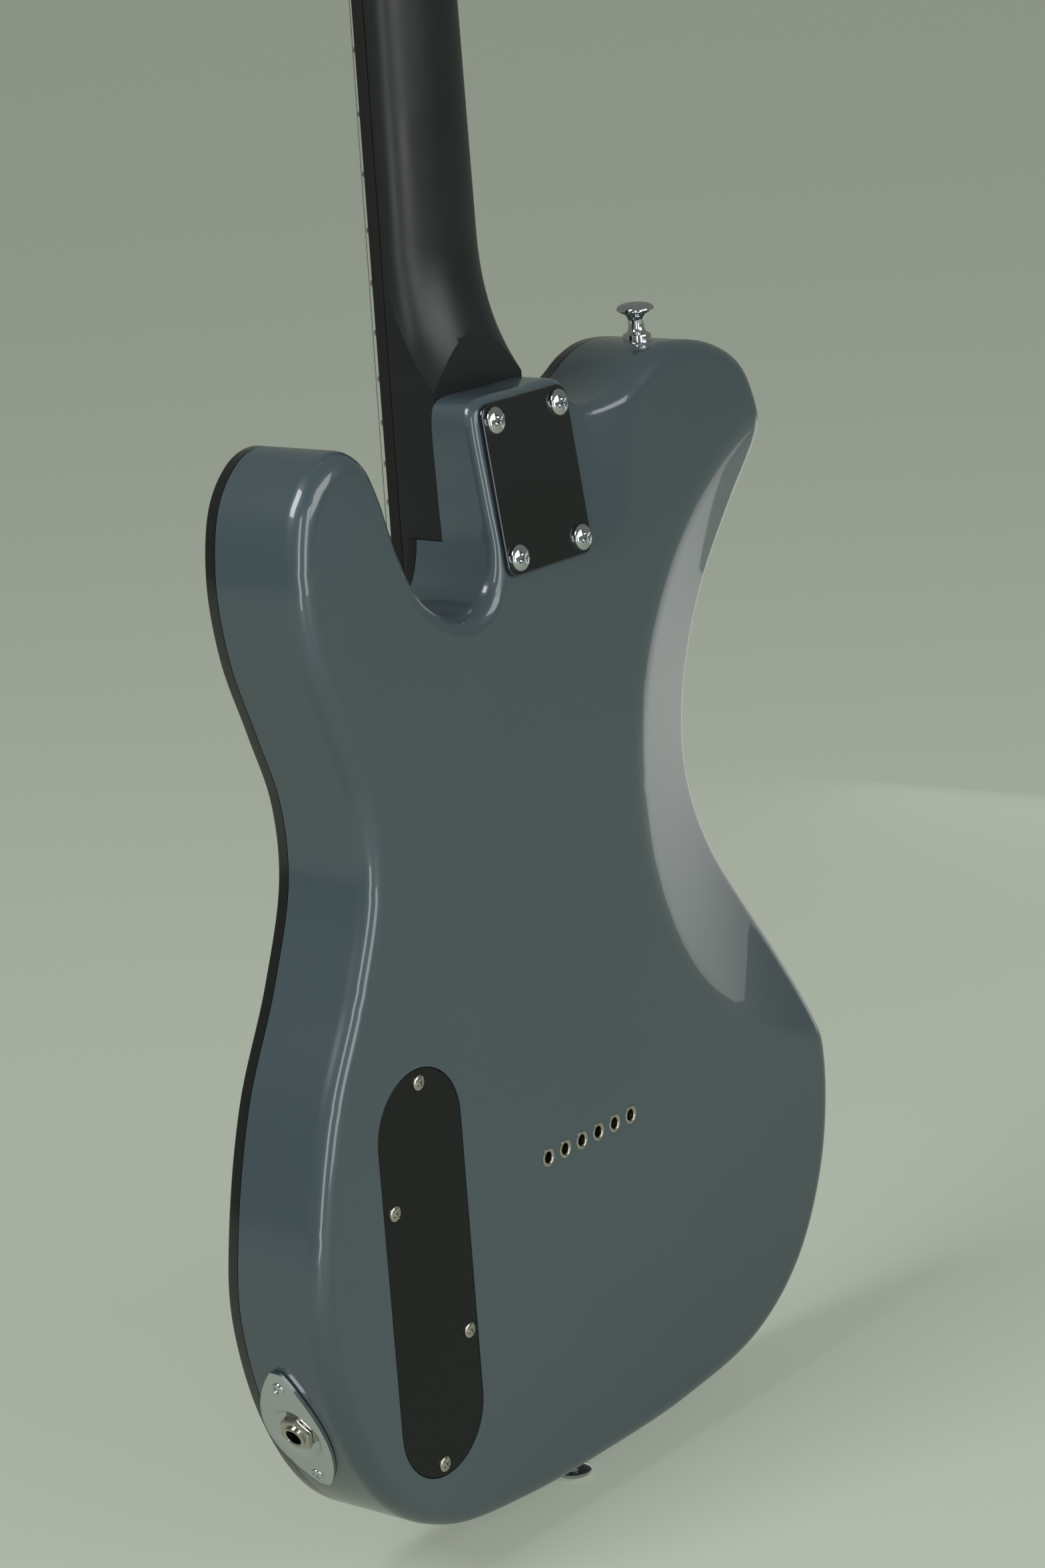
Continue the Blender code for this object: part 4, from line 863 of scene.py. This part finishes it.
def eased_copy(node, material, width, angle=35):
    bm = bmesh.new()
    bm.from_mesh(frame["nodes"][node].data)
    bmesh.ops.remove_doubles(bm, verts=bm.verts, dist=0.000003)
    bmesh.ops.dissolve_limit(bm, angle_limit=math.radians(1.0), verts=bm.verts, edges=bm.edges)
    mesh = bpy.data.meshes.new(node + "_eased")
    bm.to_mesh(mesh)
    bm.free()
    mesh = modified(node + "_eased", mesh, [rounded(width, 2, angle)])
    return stand_for(place_object(node + "_eased", mesh, material, angle), node)


FITTINGS = {"bridge_plate": (CHROME, 0.3), "nut": (NUT_PLASTIC, 0.2), "volume_knob": (CHROME, 0.3),
            "tone_knob": (CHROME, 0.3), "selector_lever": (CHROME, 0.1)}
for n in STRINGS:
    FITTINGS.update({f"bridge_saddle_{n}": (CHROME, 0.2), f"tuner_housing_{n}": (CHROME, 0.3),
                     f"tuner_button_{n}": (CHROME, 0.6), f"tuner_post_{n}": (CHROME, 0.1)})
for node, (material, width) in FITTINGS.items():
    eased_copy(node, material, width * MM)

# %% [markdown]
# A pickup is a moulded block with two rows of poles. The block is a rounded slab, and each pole is
# a low steel disc.

# %% Pickups
for node, (z, top) in PICKUPS.items():
    outline = rounded_rectangle(0, z, *PICKUP_SIZE, 3 * MM)
    block = modified(node + "_block", slab("block", outline, top, -27 * MM), [rounded(0.8 * MM, 3, 60)])
    stand_for(place_object(node + "_block", block, BOBBIN), node)
    for n in STRINGS:
        for side in (-1, 1):
            seat = Matrix.Translation((string_x(n, z), top, z + side * 9.5 * MM)) @ IN_FRONT
            pole = modified("pole", cylinder(2.4 * MM, -0.5 * MM, 0.45 * MM, Matrix.Identity(4), 28),
                            [rounded(0.15 * MM, 2, 60)])
            pole.transform(seat)
            name = f"{node}_pole_{n}_{'low' if side < 0 else 'high'}"
            stand_for(place_object(name, pole, STEEL), node, replaces=False)

# %% Inner pieces keep their solids
for node, material in {"truss_rod": STEEL, "control_pots": NICKEL, "selector_switch": NICKEL}.items():
    frame["nodes"][node].data.materials.clear()
    frame["nodes"][node].data.materials.append(material)

# %% [markdown]
# The studio is one wide pale floor. The camera looks down so steeply that the floor fills the frame,
# and with no wall the guitar can be seen from every side. Large soft lamps light it: one high on the
# treble side, one above the bass side, and a low one that the carved cut mirrors. One strip draws
# the bright lines along the rounded edges, and another gives the satin neck its sheen.

# %% Studio
def seen_by_camera_and_mirrors(tree, mirror_share):
    """One for what the camera sees straight on or through glass, and a share for reflections."""
    path = add_node(tree, "ShaderNodeLightPath")
    mirrored = add_node(tree, "ShaderNodeMath", {0: path.outputs["Is Glossy Ray"], 1: mirror_share},
                        operation="MULTIPLY")
    straight = add_node(tree, "ShaderNodeMath", {0: path.outputs["Is Camera Ray"],
                                                 1: path.outputs["Is Transmission Ray"]},
                        operation="MAXIMUM")
    return add_node(tree, "ShaderNodeMath", {0: mirrored.outputs[0], 1: straight.outputs[0]},
                    operation="MAXIMUM").outputs[0]


FLOOR_LEVEL = -14.6 * MM
FLOOR_SIZE = 40.0
PAPER, tree, shader = new_finish("pale_paper", "a9b1a3", 0.9, Specular_IOR_Level=0.1)
shader.inputs["Emission Color"].default_value = linear("a9b1a3")
glow = add_node(tree, "ShaderNodeMath", {0: seen_by_camera_and_mirrors(tree, 0.5), 1: 0.5},
                operation="MULTIPLY")
tree.links.new(glow.outputs[0], shader.inputs["Emission Strength"])
bpy.ops.object.select_all(action="DESELECT")
bpy.ops.mesh.primitive_plane_add(size=FLOOR_SIZE, location=(0, 0, FLOOR_LEVEL))
floor = bpy.context.object
floor.name = "studio_floor"
floor.data.materials.append(PAPER)

world = bpy.data.worlds.new("soft_room")
bpy.context.scene.world = world
world.use_nodes = True
sky = world.node_tree.nodes["Background"]
sky.inputs["Color"].default_value = linear("aab2a8")
share = add_node(world.node_tree, "ShaderNodeMath",
                 {0: seen_by_camera_and_mirrors(world.node_tree, 0.2), 1: 0.35, 2: 0.35},
                 operation="MULTIPLY_ADD")
world.node_tree.links.new(share.outputs[0], sky.inputs["Strength"])


def lamp(name, place, aim, size, power, colour="ffffff"):
    data = bpy.data.lights.new(name, "AREA")
    data.shape = "RECTANGLE"
    data.size, data.size_y = size
    data.energy = power
    data.color = linear(colour)[:3]
    thing = bpy.data.objects.new(name, data)
    bpy.context.scene.collection.objects.link(thing)
    thing.location = place
    thing.rotation_euler = (Vector(aim) - Vector(place)).to_track_quat("-Z", "Y").to_euler()
    thing.visible_camera = False


lamp("key_softbox", (1.6, -0.3, 1.9), (0, 0, 0.3), (0.9, 1.2), 26)
lamp("fill_softbox", (-0.4, 2.2, 1.2), (0, 0, 0.25), (1.4, 1.0), 14)
lamp("bass_softbox", (-1.0, -0.1, 0.1), (-0.1, 0, 0.25), (0.8, 0.2), 0.25)
lamp("edge_strip", (1.0, 0.85, 0.35), (0.1, 0, 0.25), (0.2, 1.2), 3)
lamp("neck_strip", (0.5, 1.7, 0.6), (0, 0, 0.6), (0.4, 1.2), 5)

# %% [markdown]
# The camera looks at the back from the treble side, a little from above, and leans over by four
# degrees, as the photograph does.

# %% Camera
CAMERA_PLACE = Vector((1144.2, 898.6, 657.0)) * MM
CAMERA_AZIMUTH = math.radians(128.77)
CAMERA_ELEVATION = math.radians(14.77)
CAMERA_ROLL = math.radians(-4.28)
CAMERA_LENS = 92.4
camera_data = bpy.data.cameras.new("camera")
camera_data.lens = CAMERA_LENS
camera_data.sensor_width = 36.0
camera_data.clip_start = 0.05
camera = bpy.data.objects.new("camera", camera_data)
bpy.context.scene.collection.objects.link(camera)
camera.matrix_world = (Matrix.Translation(CAMERA_PLACE) @ Matrix.Rotation(CAMERA_AZIMUTH, 4, "Z")
                       @ Matrix.Rotation(math.pi / 2 - CAMERA_ELEVATION, 4, "X")
                       @ Matrix.Rotation(CAMERA_ROLL, 4, "Z"))
bpy.context.scene.camera = camera
bpy.context.scene.view_settings.view_transform = "Standard"
